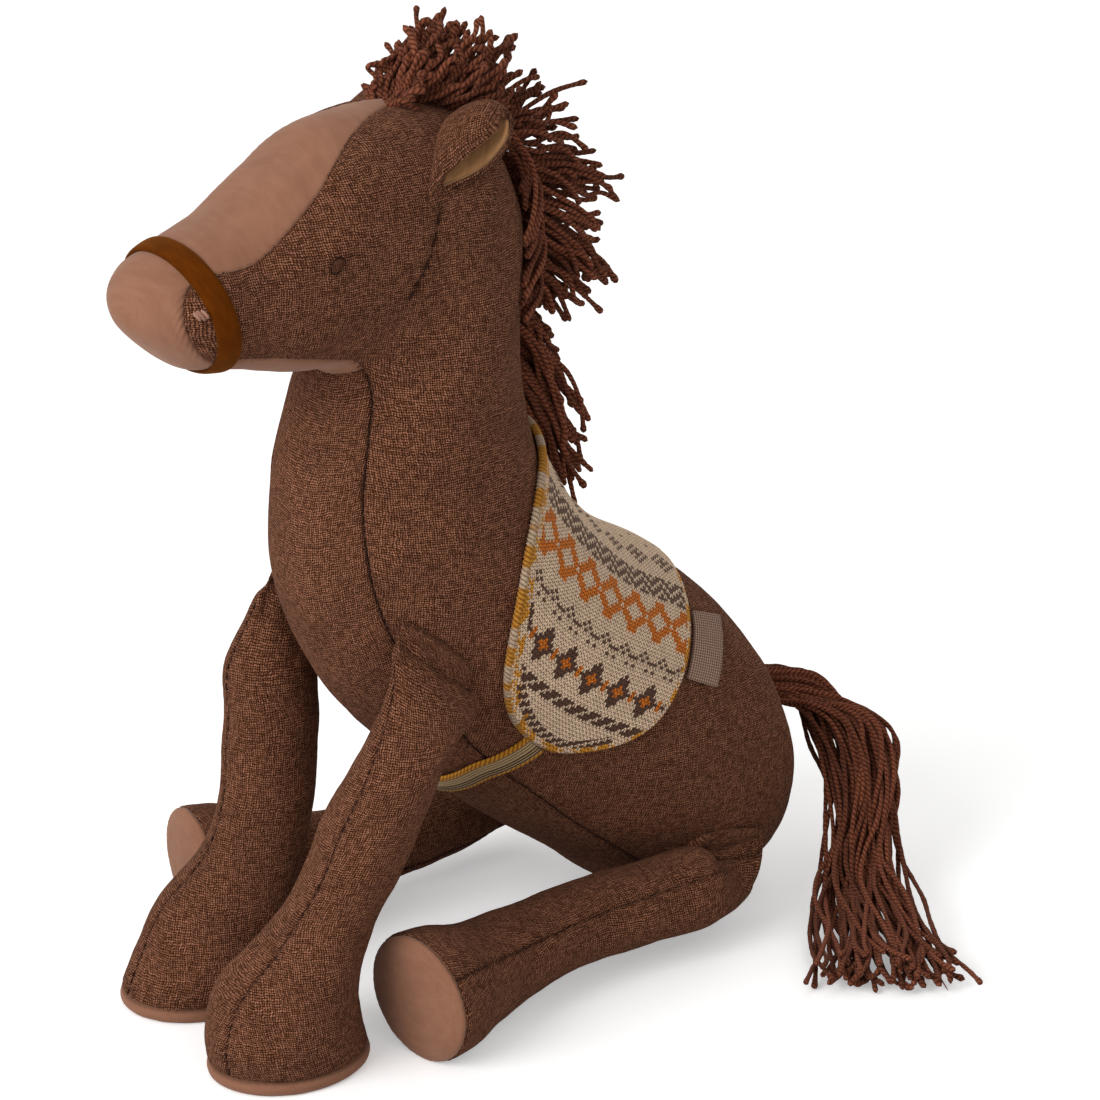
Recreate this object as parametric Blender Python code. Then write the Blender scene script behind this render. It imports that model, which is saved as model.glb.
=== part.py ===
"""Seated plush horse: a stuffed linen body in sewn panels, four floppy legs, ears, yarn mane and tail,
a knitted saddle blanket with its girth, and a ribbon noseband.

Metres, +Z up. The horse faces -Y and its left side is +X. The origin is on the flat under the rump.
"""
from math import asin, cos, pi, radians, sin, sqrt

import bmesh
import bpy
from mathutils import Matrix, Vector

# Trunk: from the tail seam to the base of the neck
TRUNK_LENGTH = 0.170
TRUNK_HEIGHT = 0.140
TRUNK_WIDTH = 0.084
# Neck: from the withers to the nape
NECK_DEPTH = 0.074
NECK_LENGTH = 0.053
NECK_WIDTH = 0.060
# Head: from the nape to the nose
HEAD_LENGTH = 0.126
HEAD_DEPTH = 0.068
HEAD_WIDTH = 0.058
# Cloth and clearances
LINEN_THICKNESS = 0.0010
SEAM_GAP = 0.0003
CLEARANCE = 0.0003
FILLING_GAP = 0.0008
SEAT_FLAT_DEPTH = 0.0005
CUT_OVERRUN = 0.010
# Front legs: the bow of each is how far its middle hangs back
FRONT_LEG_WIDTH = 0.027
FRONT_LEG_REACHES = {"left": 0.046, "right": 0.040}
FRONT_LEG_CLOSING = 0.0065
FRONT_LEG_BOWS = {"left": 0.000, "right": 0.015}
FRONT_HOOF_WIDTH = 0.039
FRONT_HOOF_LENGTH = 0.046
# Hind legs: the bow is how far their middle stands in
HIND_LEG_LENGTH = 0.121
HIND_LEG_WIDTH = 0.026
HIND_LEG_SAG = 0.005
HIND_LEG_OFFSET = 0.008
HIND_LEG_BOW = 0.0045
HIND_LEG_SPLAYS = {"left": radians(4), "right": radians(11.5)}
HIND_HOOF_WIDTH = 0.037
# Leg tabs, where the cloth is pressed flat and sewn to the body
TAB_THICKNESS = 0.0050
TAB_WIDTH = 0.028
TAB_SLANT = radians(36)
SOLE_THICKNESS = 0.0018
SOLE_CROWN = 0.0022
# Ears
EAR_LENGTH = 0.0225
EAR_BASE = 0.029
EAR_DEPTH = 0.012
EAR_CLOTH = 0.0009
EAR_LINING = 0.0007
# Mane and tail yarn
MANE_WIDTH = 0.026
FORELOCK_HEIGHT = 0.024
CREST_HEIGHT = 0.034
NECK_MANE_HEIGHT = 0.031
TAIL_ROOT_WIDTH = 0.0085
TAIL_WIDTH = 0.036
TAIL_SWEEP = 0.104
TAIL_BACK = 0.018
# Saddle blanket and girth
BLANKET_THICKNESS = 0.0018
BLANKET_LIFT = 0.0006
EDGING_WIDTH = 0.0022
GIRTH_WIDTH = 0.0070
GIRTH_THICKNESS = 0.0012
LABEL_WIDTH = 0.009
LABEL_LENGTH = 0.021
LABEL_THICKNESS = 0.0008
# Face
NOSEBAND_WIDTH = 0.0060
NOSEBAND_THICKNESS = 0.0012
EYE_WIDTH = 0.0034
EYE_HEIGHT = 0.0018
NOSTRIL_WIDTH = 0.0034
NOSTRIL_HEIGHT = 0.0014

# Rings of the body in order from the tail to the nose. Each row holds the place of the ring's top and
# bottom on the middle plane (y, z, y, z) and its half width, as shares of the sizes named above.
TRUNK_RING_SHARES = (
    (0.141, 0.386, 0.141, 0.386, 0.000),
    (0.126, 0.439, 0.144, 0.321, 0.107),
    (0.091, 0.504, 0.141, 0.200, 0.274),
    (0.040, 0.600, 0.097, 0.050, 0.411),
    (-0.031, 0.703, -0.018, -0.013, 0.482),
    (-0.126, 0.793, -0.176, 0.046, 0.500),
    (-0.239, 0.876, -0.329, 0.171, 0.494),
    (-0.324, 0.971, -0.488, 0.321, 0.482),
    (-0.368, 1.057, -0.635, 0.479, 0.464),
    (-0.394, 1.136, -0.753, 0.650, 0.440),
)
NECK_RING_SHARES = (
    (-0.027, 0.226, -1.000, -0.774, 0.575),
    (-0.041, 0.453, -1.027, -0.302, 0.525),
    (-0.041, 0.698, -0.959, 0.113, 0.500),
    (-0.041, 1.000, -0.899, 0.358, 0.483),
)
HEAD_RING_SHARES = (
    (-0.024, 0.265, -0.488, -0.404, 0.500),
    (-0.111, 0.500, -0.516, -0.368, 0.500),
    (-0.278, 0.618, -0.567, -0.360, 0.483),
    (-0.476, 0.600, -0.619, -0.345, 0.452),
    (-0.605, 0.480, -0.675, -0.318, 0.414),
    (-0.738, 0.330, -0.730, -0.290, 0.371),
    (-0.865, 0.235, -0.790, -0.266, 0.345),
    (-0.938, 0.175, -0.862, -0.240, 0.302),
    (-0.980, 0.085, -0.930, -0.148, 0.190),
    (-0.988, -0.025, -0.988, -0.025, 0.000),
)

SIDES = (("left", 1), ("right", -1))
UP = Vector((0, 0, 1))
ACROSS = Vector((1, 0, 0))


def spline_row(rows, place):
    """The row at a place along a table of rows, on a smooth curve through all of them."""
    last = len(rows) - 1
    index = min(max(int(place), 0), last - 1)
    part = place - index
    here, after = rows[index], rows[index + 1]
    before = rows[index - 1] if index > 0 else None
    beyond = rows[index + 2] if index + 2 <= last else None
    row = []
    for item in range(len(here)):
        start, end = here[item], after[item]
        start_slope = (end - before[item]) / 2 if before else end - start
        end_slope = (beyond[item] - start) / 2 if beyond else end - start
        square, cube = part ** 2, part ** 3
        row.append(start * (2 * cube - 3 * square + 1) + start_slope * (cube - 2 * square + part)
                   + end * (3 * square - 2 * cube) + end_slope * (cube - square))
    return row


class Form:
    """A swelling tube: rings of (centre, half height, half width), each a vector, along a smooth line."""

    def __init__(self, rings, round_start=True, round_end=True):
        self.rings = list(rings)
        self.first = 1 if round_start else 0
        if round_start:
            centre, high, wide = rings[1]
            self.rings.insert(0, (centre, -high, -wide))
        if round_end:
            centre, high, wide = rings[-2]
            self.rings.append((centre, -high, -wide))
        self.last = len(rings) - 1

    def point(self, ring, turn):
        centre, high, wide = spline_row(self.rings, ring + self.first)
        return centre + high * cos(turn) + wide * sin(turn)

    def slopes(self, ring, turn):
        step = 0.01
        low, high = max(ring - step, 0), min(ring + step, self.last)
        along = (self.point(high, turn) - self.point(low, turn)) / (high - low)
        around = (self.point(ring, turn + step) - self.point(ring, turn - step)) / (2 * step)
        return along, around

    def normal(self, ring, turn):
        ring = min(max(ring, 0.03), self.last - 0.03)
        along, around = self.slopes(ring, turn)
        return along.cross(around).normalized()

    def lifted(self, ring, turn, lift):
        return self.point(ring, turn) + self.normal(ring, turn) * lift

    def turn_for(self, ring, turn, distance):
        """The turn that a distance round the ring takes there."""
        return distance / max(self.slopes(ring, turn)[1].length, distance)

    def ring_for(self, ring, turn, distance):
        """The part of a ring's spacing that a distance along the form takes there."""
        return distance / max(self.slopes(ring, turn)[0].length, distance)


def body_rings():
    neck_start = Vector((0, TRUNK_RING_SHARES[-1][0] * TRUNK_LENGTH, TRUNK_RING_SHARES[-1][1] * TRUNK_HEIGHT))
    nape = neck_start + Vector((0, NECK_RING_SHARES[-1][0] * NECK_DEPTH, NECK_RING_SHARES[-1][1] * NECK_LENGTH))
    regions = (
        (TRUNK_RING_SHARES, Vector((0, 0, 0)), TRUNK_LENGTH, TRUNK_HEIGHT, TRUNK_WIDTH),
        (NECK_RING_SHARES, neck_start, NECK_DEPTH, NECK_LENGTH, NECK_WIDTH),
        (HEAD_RING_SHARES, nape, HEAD_LENGTH, HEAD_DEPTH, HEAD_WIDTH),
    )
    rings = []
    for shares, start, length, height, width in regions:
        for top_y, top_z, low_y, low_z, half_width in shares:
            top = start + Vector((0, top_y * length, top_z * height))
            low = start + Vector((0, low_y * length, low_z * height))
            rings.append(((top + low) / 2, (top - low) / 2, ACROSS * half_width * width))
    return rings


BODY = Form(body_rings())


def make_collection(name, hidden=False):
    collection = bpy.data.collections.new(name)
    bpy.context.scene.collection.children.link(collection)
    collection.hide_render = hidden
    return collection


def make_material(name, colour, roughness):
    material = bpy.data.materials.new(name)
    material.use_nodes = True
    shader = material.node_tree.nodes["Principled BSDF"]
    shader.inputs["Base Color"].default_value = (*colour, 1)
    shader.inputs["Roughness"].default_value = roughness
    shader.inputs["Metallic"].default_value = 0
    return material


for old_object in list(bpy.data.objects):
    bpy.data.objects.remove(old_object)

HORSE = make_collection("plush_horse")
CUTTERS = make_collection("cutters", hidden=True)
LINEN = make_material("brown_linen", (0.075, 0.036, 0.026), 0.95)
VELOUR = make_material("rose_velour", (0.38, 0.17, 0.11), 0.9)
RIBBON = make_material("caramel_velvet", (0.22, 0.075, 0.012), 0.8)
KNIT = make_material("cream_knit", (0.55, 0.46, 0.33), 0.95)
OCHRE = make_material("ochre_thread", (0.55, 0.27, 0.03), 0.85)
WEBBING = make_material("striped_webbing", (0.45, 0.36, 0.20), 0.85)
YARN = make_material("rust_yarn", (0.16, 0.045, 0.022), 0.95)
KHAKI = make_material("khaki_velvet", (0.20, 0.11, 0.04), 0.9)
GROSGRAIN = make_material("brown_grosgrain", (0.10, 0.058, 0.038), 0.85)
PINK = make_material("pink_thread", (0.62, 0.30, 0.22), 0.7)
EYE_THREAD = make_material("brown_thread", (0.055, 0.018, 0.010), 0.5)
FILLING = make_material("polyester_filling", (0.75, 0.74, 0.70), 1.0)


def add_mesh(name, points, faces, material, parent=None, collection=None):
    mesh = bpy.data.meshes.new(name)
    origin = parent.matrix_world.translation if parent else Vector((0, 0, 0))
    mesh.from_pydata([tuple(point - origin) for point in points], [], faces)
    builder = bmesh.new()
    builder.from_mesh(mesh)
    bmesh.ops.recalc_face_normals(builder, faces=builder.faces)
    builder.to_mesh(mesh)
    builder.free()
    mesh.shade_smooth()
    mesh.materials.append(material)
    made = bpy.data.objects.new(name, mesh)
    (collection or HORSE).objects.link(made)
    made.parent = parent
    return made


def add_hinge(name, place):
    """An empty that stands on a joint's axis and carries the pieces that turn with it."""
    hinge = bpy.data.objects.new(name, None)
    hinge.empty_display_size = CUT_OVERRUN
    hinge.matrix_world = Matrix.Translation(place)
    HORSE.objects.link(hinge)
    return hinge


def loft_faces(loops):
    """Faces between neighbouring loops of points; a loop of one point is a pole."""
    starts = []
    total = 0
    for loop in loops:
        starts.append(total)
        total += len(loop)
    faces = []
    for index in range(len(loops) - 1):
        low, high = loops[index], loops[index + 1]
        count = max(len(low), len(high))
        for step in range(count):
            following = (step + 1) % count
            face = []
            for start, loop, order in ((starts[index], low, (step, following)),
                                       (starts[index + 1], high, (following, step))):
                if len(loop) == 1:
                    face.append(start)
                else:
                    face.extend(start + item for item in order)
            faces.append(face)
    return faces


def add_loft(name, loops, material, parent=None, closed=False):
    """A solid through loops of points; its ends are poles, flat caps, or joined to each other."""
    faces = loft_faces(loops)
    points = [point for loop in loops for point in loop]
    count = len(loops[0])
    if closed:
        last = len(points) - count
        faces.extend([last + step, last + (step + 1) % count, (step + 1) % count, step] for step in range(count))
    else:
        if len(loops[0]) > 1:
            faces.append(list(range(count)))
        if len(loops[-1]) > 1:
            faces.append(list(range(len(points) - len(loops[-1]), len(points))))
    return add_mesh(name, points, faces, material, parent)


def add_sheet(name, outer, inner, material, parent=None):
    """A sheet of cloth between two grids of points, with its four edges closed."""
    rows, columns = len(outer), len(outer[0])
    points = [point for grid in (outer, inner) for row in grid for point in row]
    half = rows * columns
    faces = []
    for row in range(rows - 1):
        for column in range(columns - 1):
            first = row * columns + column
            quad = [first, first + 1, first + columns + 1, first + columns]
            faces.append(quad)
            faces.append([half + item for item in reversed(quad)])
    edge = list(range(columns))
    edge += [row * columns + columns - 1 for row in range(1, rows)]
    edge += [(rows - 1) * columns + column for column in range(columns - 2, -1, -1)]
    edge += [row * columns for row in range(rows - 2, 0, -1)]
    for step, item in enumerate(edge):
        following = edge[(step + 1) % len(edge)]
        faces.append([item, following, half + following, half + item])
    return add_mesh(name, points, faces, material, parent)


def form_loop(form, ring, lift, count):
    return [form.lifted(ring, 2 * pi * step / count, lift) for step in range(count)]


def steps_between(first, last, count):
    return [first + (last - first) * step / count for step in range(count + 1)]


def add_patch(name, form, rows, columns, place, low, high, material):
    """A sheet that lies on a form, between two lifts; place gives ring and turn for a row and column."""
    grids = []
    for lift in (high, low):
        grids.append([[form.lifted(*place(row, column), lift) for column in columns] for row in rows])
    return add_sheet(name, grids[0], grids[1], material)


def make_cut(target, cutter):
    cut = target.modifiers.new("cut", "BOOLEAN")
    cut.operation = "DIFFERENCE"
    cut.object = cutter
    return cut


def add_cutter_box(name, low, high):
    mesh = bpy.data.meshes.new(name)
    builder = bmesh.new()
    bmesh.ops.create_cube(builder, size=1)
    middle = (low + high) / 2
    span = high - low
    for corner in builder.verts:
        corner.co = middle + Vector(corner.co[item] * span[item] for item in range(3))
    builder.to_mesh(mesh)
    builder.free()
    cutter = bpy.data.objects.new(name, mesh)
    cutter.hide_render = True
    cutter.display_type = "WIRE"
    CUTTERS.objects.link(cutter)
    return cutter


# Places on the body: rings are counted from the tail seam, turns from the back line down the left side
TAIL_HOLE_RING = (TAIL_ROOT_WIDTH / 2 + LINEN_THICKNESS) / BODY.rings[2][1].length
BLAZE_START_RING = 16.0
NOSEBAND_RING = 20.2
CHEEK_END_RING = 21.3
THROAT_RING = 14.0
BLAZE_TURN_SHARES = ((16.0, 0.02), (16.4, 0.06), (17.0, 0.165), (17.5, 0.23), (18.0, 0.265), (19.0, 0.32),
                     (19.5, 0.31), (20.0, 0.26))
BELLY_TURN_SHARES = ((0.0, 0.20), (2.0, 0.19), (5.0, 0.20), (9.0, 0.24), (10.8, 0.23), (12.9, 0.20), (14.0, 0.15))
CHIN_TURN_SHARES = ((14.0, 0.15), (15.3, 0.155), (17.3, 0.19), (20.0, 0.24))
BODY_ROWS = steps_between(TAIL_HOLE_RING, THROAT_RING, 22)
JAW_ROWS = steps_between(THROAT_RING, NOSEBAND_RING, 15)
BLAZE_ROWS = steps_between(BLAZE_START_RING, NOSEBAND_RING, 10)
SIDE_COLUMNS = steps_between(0, 1, 8)
CHEEK_STEP = 0.12


def table_value(table, place):
    """A value read from a table of (place, value) rows with straight runs between them."""
    if place <= table[0][0]:
        return table[0][1]
    for (start, low), (end, high) in zip(table, table[1:]):
        if place <= end:
            return low + (high - low) * (place - start) / (end - start)
    return table[-1][1]


def blaze_turn(ring):
    return pi * table_value(BLAZE_TURN_SHARES, ring)


def top_turn(ring):
    """Where the side panel starts below the back line, or below the blaze on the face."""
    start = blaze_turn(ring) if ring >= BLAZE_START_RING - CHEEK_STEP else 0
    return start + BODY.turn_for(ring, start, SEAM_GAP / 2)


def low_turn(ring):
    """Where the side panel ends above the belly gusset, or above the chin gusset on the jaw."""
    if ring < THROAT_RING:
        end = pi * (1 - table_value(BELLY_TURN_SHARES, ring))
    else:
        end = pi * (1 - table_value(CHIN_TURN_SHARES, ring))
    return end - BODY.turn_for(ring, end, SEAM_GAP / 2)


def cheek_end(share):
    """The ring where the side panel meets the muzzle, past the noseband at mid cheek."""
    reach = CHEEK_END_RING - NOSEBAND_RING
    return NOSEBAND_RING + reach * (CHEEK_STEP + (1 - CHEEK_STEP) * sqrt(max(sin(pi * share), 0)))


def side_turn(ring, share):
    start, end = top_turn(ring), low_turn(ring)
    return start + (end - start) * share


def make_side_panel(name, side):
    def place(row, column):
        ring = row
        if row > NOSEBAND_RING:
            ring = NOSEBAND_RING + (cheek_end(column) - NOSEBAND_RING) * (row - NOSEBAND_RING)
        return ring, side * side_turn(ring, column)
    rows = BODY_ROWS + JAW_ROWS[1:] + steps_between(NOSEBAND_RING, NOSEBAND_RING + 1, 2)[1:]
    return add_patch(name, BODY, rows, SIDE_COLUMNS, place, -LINEN_THICKNESS, 0, LINEN)


def make_gusset(name, rows, columns, half_turn, centre, material):
    """A strip along the middle of the body; half_turn gives its reach to each side."""
    def place(row, column):
        reach = half_turn(row)
        reach -= BODY.turn_for(row, centre + reach, SEAM_GAP / 2)
        return row, centre + reach * column
    return add_patch(name, BODY, rows, steps_between(-1, 1, columns), place, -LINEN_THICKNESS, 0, material)


def make_muzzle():
    """The cloth over the nose: its edge meets the blaze, both cheeks and the chin gusset."""
    blaze, chin = blaze_turn(NOSEBAND_RING), pi * CHIN_TURN_SHARES[-1][1]
    edge = [(NOSEBAND_RING, blaze * share) for share in (-2 / 3, -1 / 3, 0, 1 / 3, 2 / 3)]
    edge += [(cheek_end(share), side_turn(NOSEBAND_RING, share)) for share in SIDE_COLUMNS]
    edge += [(NOSEBAND_RING, pi + chin * share) for share in (-1 / 2, 0, 1 / 2)]
    edge += [(cheek_end(share), -side_turn(NOSEBAND_RING, share)) for share in reversed(SIDE_COLUMNS)]
    edge = [(ring + BODY.ring_for(ring, turn, SEAM_GAP), turn) for ring, turn in edge]
    steps = 5
    loops = []
    for lift, order in ((0, range(steps, -1, -1)), (-LINEN_THICKNESS, range(steps + 1))):
        for step in order:
            if step == steps:
                loops.append([BODY.lifted(BODY.last, 0, lift)])
            else:
                loops.append([BODY.lifted(ring + (BODY.last - ring) * step / steps, turn, lift)
                              for ring, turn in edge])
    return add_loft("muzzle_panel", loops, VELOUR)


def make_stuffing(name, rows, round_end):
    """The filling inside the cloth; an end that meets other filling is flat."""
    depth = -(LINEN_THICKNESS + FILLING_GAP)
    loops = [form_loop(BODY, row, depth, 14) for row in rows]
    if round_end:
        loops[-1] = [BODY.lifted(rows[-1], 0, depth)]
    return add_loft(name, loops, FILLING)


def make_body():
    for side_name, side in SIDES:
        make_side_panel(side_name + "_side_panel", side)
    belly = make_gusset("belly_gusset", BODY_ROWS, 6,
                        lambda ring: pi * table_value(BELLY_TURN_SHARES, ring), pi, LINEN)
    reach = TRUNK_LENGTH + HEAD_LENGTH
    floor = add_cutter_box("floor_cutter", Vector((-reach, -reach, -CUT_OVERRUN)), Vector((reach, reach, 0)))
    make_cut(belly, floor)
    make_gusset("blaze_panel", BLAZE_ROWS, 6, blaze_turn, 0, VELOUR)
    chin_start = THROAT_RING + BODY.ring_for(THROAT_RING, pi, SEAM_GAP)
    make_gusset("chin_gusset", [chin_start] + JAW_ROWS[1:], 4,
                lambda ring: pi * table_value(CHIN_TURN_SHARES, ring), pi, VELOUR)
    make_muzzle()
    make_stuffing("torso_stuffing", BODY_ROWS[1:-1], False)
    split = BODY_ROWS[-2] + BODY.ring_for(BODY_ROWS[-2], pi, CLEARANCE)
    head_rows = [split] + JAW_ROWS + steps_between(NOSEBAND_RING, BODY.last, 4)[1:]
    make_stuffing("head_stuffing", head_rows, True)
    return floor


def add_knot(name, ring, turn, width, height, material):
    """A small embroidered knot that sits on the cloth."""
    normal = BODY.normal(ring, turn)
    along = BODY.slopes(ring, turn)[0].normalized()
    side = normal.cross(along)
    centre = BODY.lifted(ring, turn, CLEARANCE + height / 2)
    mesh = bpy.data.meshes.new(name)
    builder = bmesh.new()
    bmesh.ops.create_uvsphere(builder, u_segments=10, v_segments=6, radius=1)
    for corner in builder.verts:
        place = corner.co
        corner.co = centre + (side * place.x + along * place.y) * (width / 2) + normal * place.z * (height / 2)
    bmesh.ops.recalc_face_normals(builder, faces=builder.faces)
    builder.to_mesh(mesh)
    builder.free()
    mesh.shade_smooth()
    mesh.materials.append(material)
    knot = bpy.data.objects.new(name, mesh)
    HORSE.objects.link(knot)
    return knot


EYE_RING, EYE_TURN_SHARE = 17.5, 0.478
NOSTRIL_RING, NOSTRIL_TURN_SHARE = 20.75, 0.42


def make_face():
    for side_name, side in SIDES:
        add_knot("eye_" + side_name, EYE_RING, side * pi * EYE_TURN_SHARE, EYE_WIDTH, EYE_HEIGHT, EYE_THREAD)
        add_knot("nostril_" + side_name, NOSTRIL_RING, side * pi * NOSTRIL_TURN_SHARE,
                 NOSTRIL_WIDTH, NOSTRIL_HEIGHT, PINK)
    count = 28
    loops = []
    for step in range(count):
        turn = 2 * pi * step / count
        reach = BODY.ring_for(NOSEBAND_RING, turn, NOSEBAND_WIDTH / 2)
        corners = ((-reach, CLEARANCE), (reach, CLEARANCE), (reach, CLEARANCE + NOSEBAND_THICKNESS),
                   (-reach, CLEARANCE + NOSEBAND_THICKNESS))
        loops.append([BODY.lifted(NOSEBAND_RING + along, turn, lift) for along, lift in corners])
    add_loft("noseband", loops, RIBBON, closed=True)


# Blanket outline on the left side: (turn share, front ring, rear ring) from the back line to the hem
BLANKET_EDGE_SHARES = (
    (0.00, 9.05, 4.72),
    (0.15, 9.15, 4.95),
    (0.28, 9.25, 5.30),
    (0.39, 9.10, 5.65),
    (0.49, 8.80, 6.05),
    (0.57, 8.50, 6.50),
    (0.63, 8.15, 6.95),
    (0.66, 7.75, 7.30),
)
GIRTH_RING_SHARES = ((0.685, 7.50), (0.80, 7.68), (1.00, 7.60))
LABEL_TURN_SHARE = 0.225


def blanket_edges(turn_share):
    """Front and rear ring of the blanket at a turn, on a smooth line through the outline's rows."""
    rows = BLANKET_EDGE_SHARES
    place = table_value([(row[0], index) for index, row in enumerate(rows)], turn_share)
    front, rear = spline_row([row[1:] for row in rows], place)
    return front, rear


def blanket_place(along, across):
    """Ring and turn for shares of the blanket: front to rear, and hem to hem."""
    side_share = (2 * across - 1) * BLANKET_EDGE_SHARES[-1][0]
    front, rear = blanket_edges(abs(side_share))
    return front + (rear - front) * along, pi * side_share


def make_blanket():
    steps_along, steps_across = 12, 24
    add_patch("saddle_blanket", BODY, steps_between(0, 1, steps_along), steps_between(0, 1, steps_across),
              blanket_place, BLANKET_LIFT, BLANKET_LIFT + BLANKET_THICKNESS, KNIT)
    radius = EDGING_WIDTH / 2
    away = radius + CLEARANCE
    route = [(0, step / steps_across) for step in range(steps_across + 1)]
    route += [(step / steps_along, 1) for step in range(1, steps_along)]
    route += [(1, 1 - step / steps_across) for step in range(steps_across + 1)]
    route += [(1 - step / steps_along, 0) for step in range(1, steps_along)]
    edge = [BODY.lifted(*blanket_place(*share), BLANKET_LIFT + radius) for share in route]
    ups = [BODY.normal(*blanket_place(*share)) for share in route]
    count = len(edge)
    loops = []
    for step, point in enumerate(edge):
        before, after = edge[step - 1], edge[(step + 1) % count]
        forward = (after - before).normalized()
        outward = forward.cross(ups[step]).normalized()
        centre = point + outward * away
        upward = outward.cross(forward)
        loops.append([centre + (outward * cos(2 * pi * turn / 6) + upward * sin(2 * pi * turn / 6)) * radius
                      for turn in range(6)])
    add_loft("blanket_edging", loops, OCHRE, closed=True)


def make_girth():
    first, last = GIRTH_RING_SHARES[0][0], 2 - GIRTH_RING_SHARES[0][0]

    def place(share, across):
        ring = table_value(GIRTH_RING_SHARES, min(share, 2 - share))
        return ring + BODY.ring_for(ring, pi * share, GIRTH_WIDTH / 2) * across, pi * share
    add_patch("girth_strap", BODY, steps_between(first, last, 24), (-1, 0, 1), place,
              CLEARANCE, CLEARANCE + GIRTH_THICKNESS, WEBBING)


def make_label():
    start_turn = pi * LABEL_TURN_SHARE

    def place(along, across):
        turn = start_turn + BODY.turn_for(4, start_turn, LABEL_LENGTH * along)
        rear = blanket_edges(turn / pi)[1]
        ring = rear - BODY.ring_for(rear, turn, EDGING_WIDTH + 3 * CLEARANCE + LABEL_WIDTH * across)
        return ring, turn
    add_patch("label_tab", BODY, steps_between(0, 1, 6), steps_between(0, 1, 3), place,
              CLEARANCE, CLEARANCE + LABEL_THICKNESS, GROSGRAIN)


# Leg rings from the tab to the hoof: (size used, drop, forward, inward, bow, half depth, half width). The
# drop is a share of the leg's length, the next three of its reach, closing and bow, the halves of the size
# named first. For a hind leg, which lies on the ground, forward is upward.
FRONT_LEG_RING_SHARES = (
    ("tab", -0.040, 0.00, 0.00, 0.00, 0.00, 0.00),
    ("tab", -0.034, 0.00, 0.00, 0.00, 0.34, 0.30),
    ("tab", 0.000, 0.00, 0.00, 0.00, 0.50, 0.50),
    ("mid", 0.090, 0.10, -0.70, 0.25, 0.48, 0.30),
    ("leg", 0.200, 0.32, -0.95, 0.56, 0.49, 0.44),
    ("leg", 0.340, 0.47, -0.50, 0.78, 0.50, 0.49),
    ("leg", 0.500, 0.63, 0.00, 0.92, 0.50, 0.49),
    ("leg", 0.640, 0.83, 0.38, 1.00, 0.54, 0.52),
    ("hoof", 0.770, 1.02, 0.72, 0.72, 0.42, 0.46),
    ("hoof", 0.880, 1.06, 0.92, 0.38, 0.47, 0.49),
    ("hoof", 0.970, 1.02, 1.00, 0.00, 0.50, 0.50),
)
HIND_LEG_RING_SHARES = (
    ("tab", -0.040, 0.00, 0.00, 0.00, 0.00, 0.00),
    ("tab", -0.034, 0.00, 0.00, 0.00, 0.34, 0.30),
    ("tab", 0.000, 0.00, 0.00, 0.00, 0.50, 0.50),
    ("mid", 0.035, -1.10, -0.60, 0.00, 0.42, 0.26),
    ("leg", 0.145, -1.00, -0.60, 0.00, 0.47, 0.43),
    ("leg", 0.300, -1.05, -0.30, 0.60, 0.48, 0.47),
    ("leg", 0.480, -1.00, 0.00, 1.00, 0.46, 0.46),
    ("leg", 0.640, -0.90, 0.00, 1.00, 0.49, 0.48),
    ("leg", 0.780, -0.60, 0.00, 0.70, 0.57, 0.56),
    ("hoof", 0.900, -0.20, 0.00, 0.25, 0.47, 0.47),
    ("hoof", 0.985, 0.00, 0.00, 0.00, 0.50, 0.50),
)
SHOULDER_RING, SHOULDER_TURN_SHARE = 9.20, 0.70
HIP_RING, HIP_TURN_SHARE = 4.62, 0.67


def tab_axes(ring, turn, side, slant):
    """The axes of a tab that lies flat on the body: outward, backward along the tab, and up."""
    outward = BODY.normal(ring, turn) * side
    backward = Vector((0, cos(slant), -sin(slant)))
    backward = (backward - outward * backward.dot(outward)).normalized()
    return Matrix((outward, backward, outward.cross(backward))).transposed()


def leg_form(shares, length, reaches, bow, sizes, tab, turn, pivot):
    """The outer form of a leg; tab and turn bring the tab's and the leg's own axes to the body's."""
    half_way = tab.to_quaternion().slerp(turn.to_quaternion(), 0.5).to_matrix()
    axes = {"tab": tab, "mid": half_way, "leg": turn, "hoof": turn}
    forward_reach, inward_reach = reaches
    rings = []
    for kind, drop, forward, inward, bowed, half_depth, half_width in shares:
        width, depth = sizes[kind]
        centre = Vector((-inward * inward_reach, -forward * forward_reach, -drop * length)) + bow * bowed
        high = Vector((0, -half_depth * depth, 0))
        wide = Vector((half_width * width, 0, 0))
        placing = tab if kind == "tab" else turn
        rings.append((pivot + placing @ centre, axes[kind] @ high, axes[kind] @ wide))
    return Form(rings, round_end=False)


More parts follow.
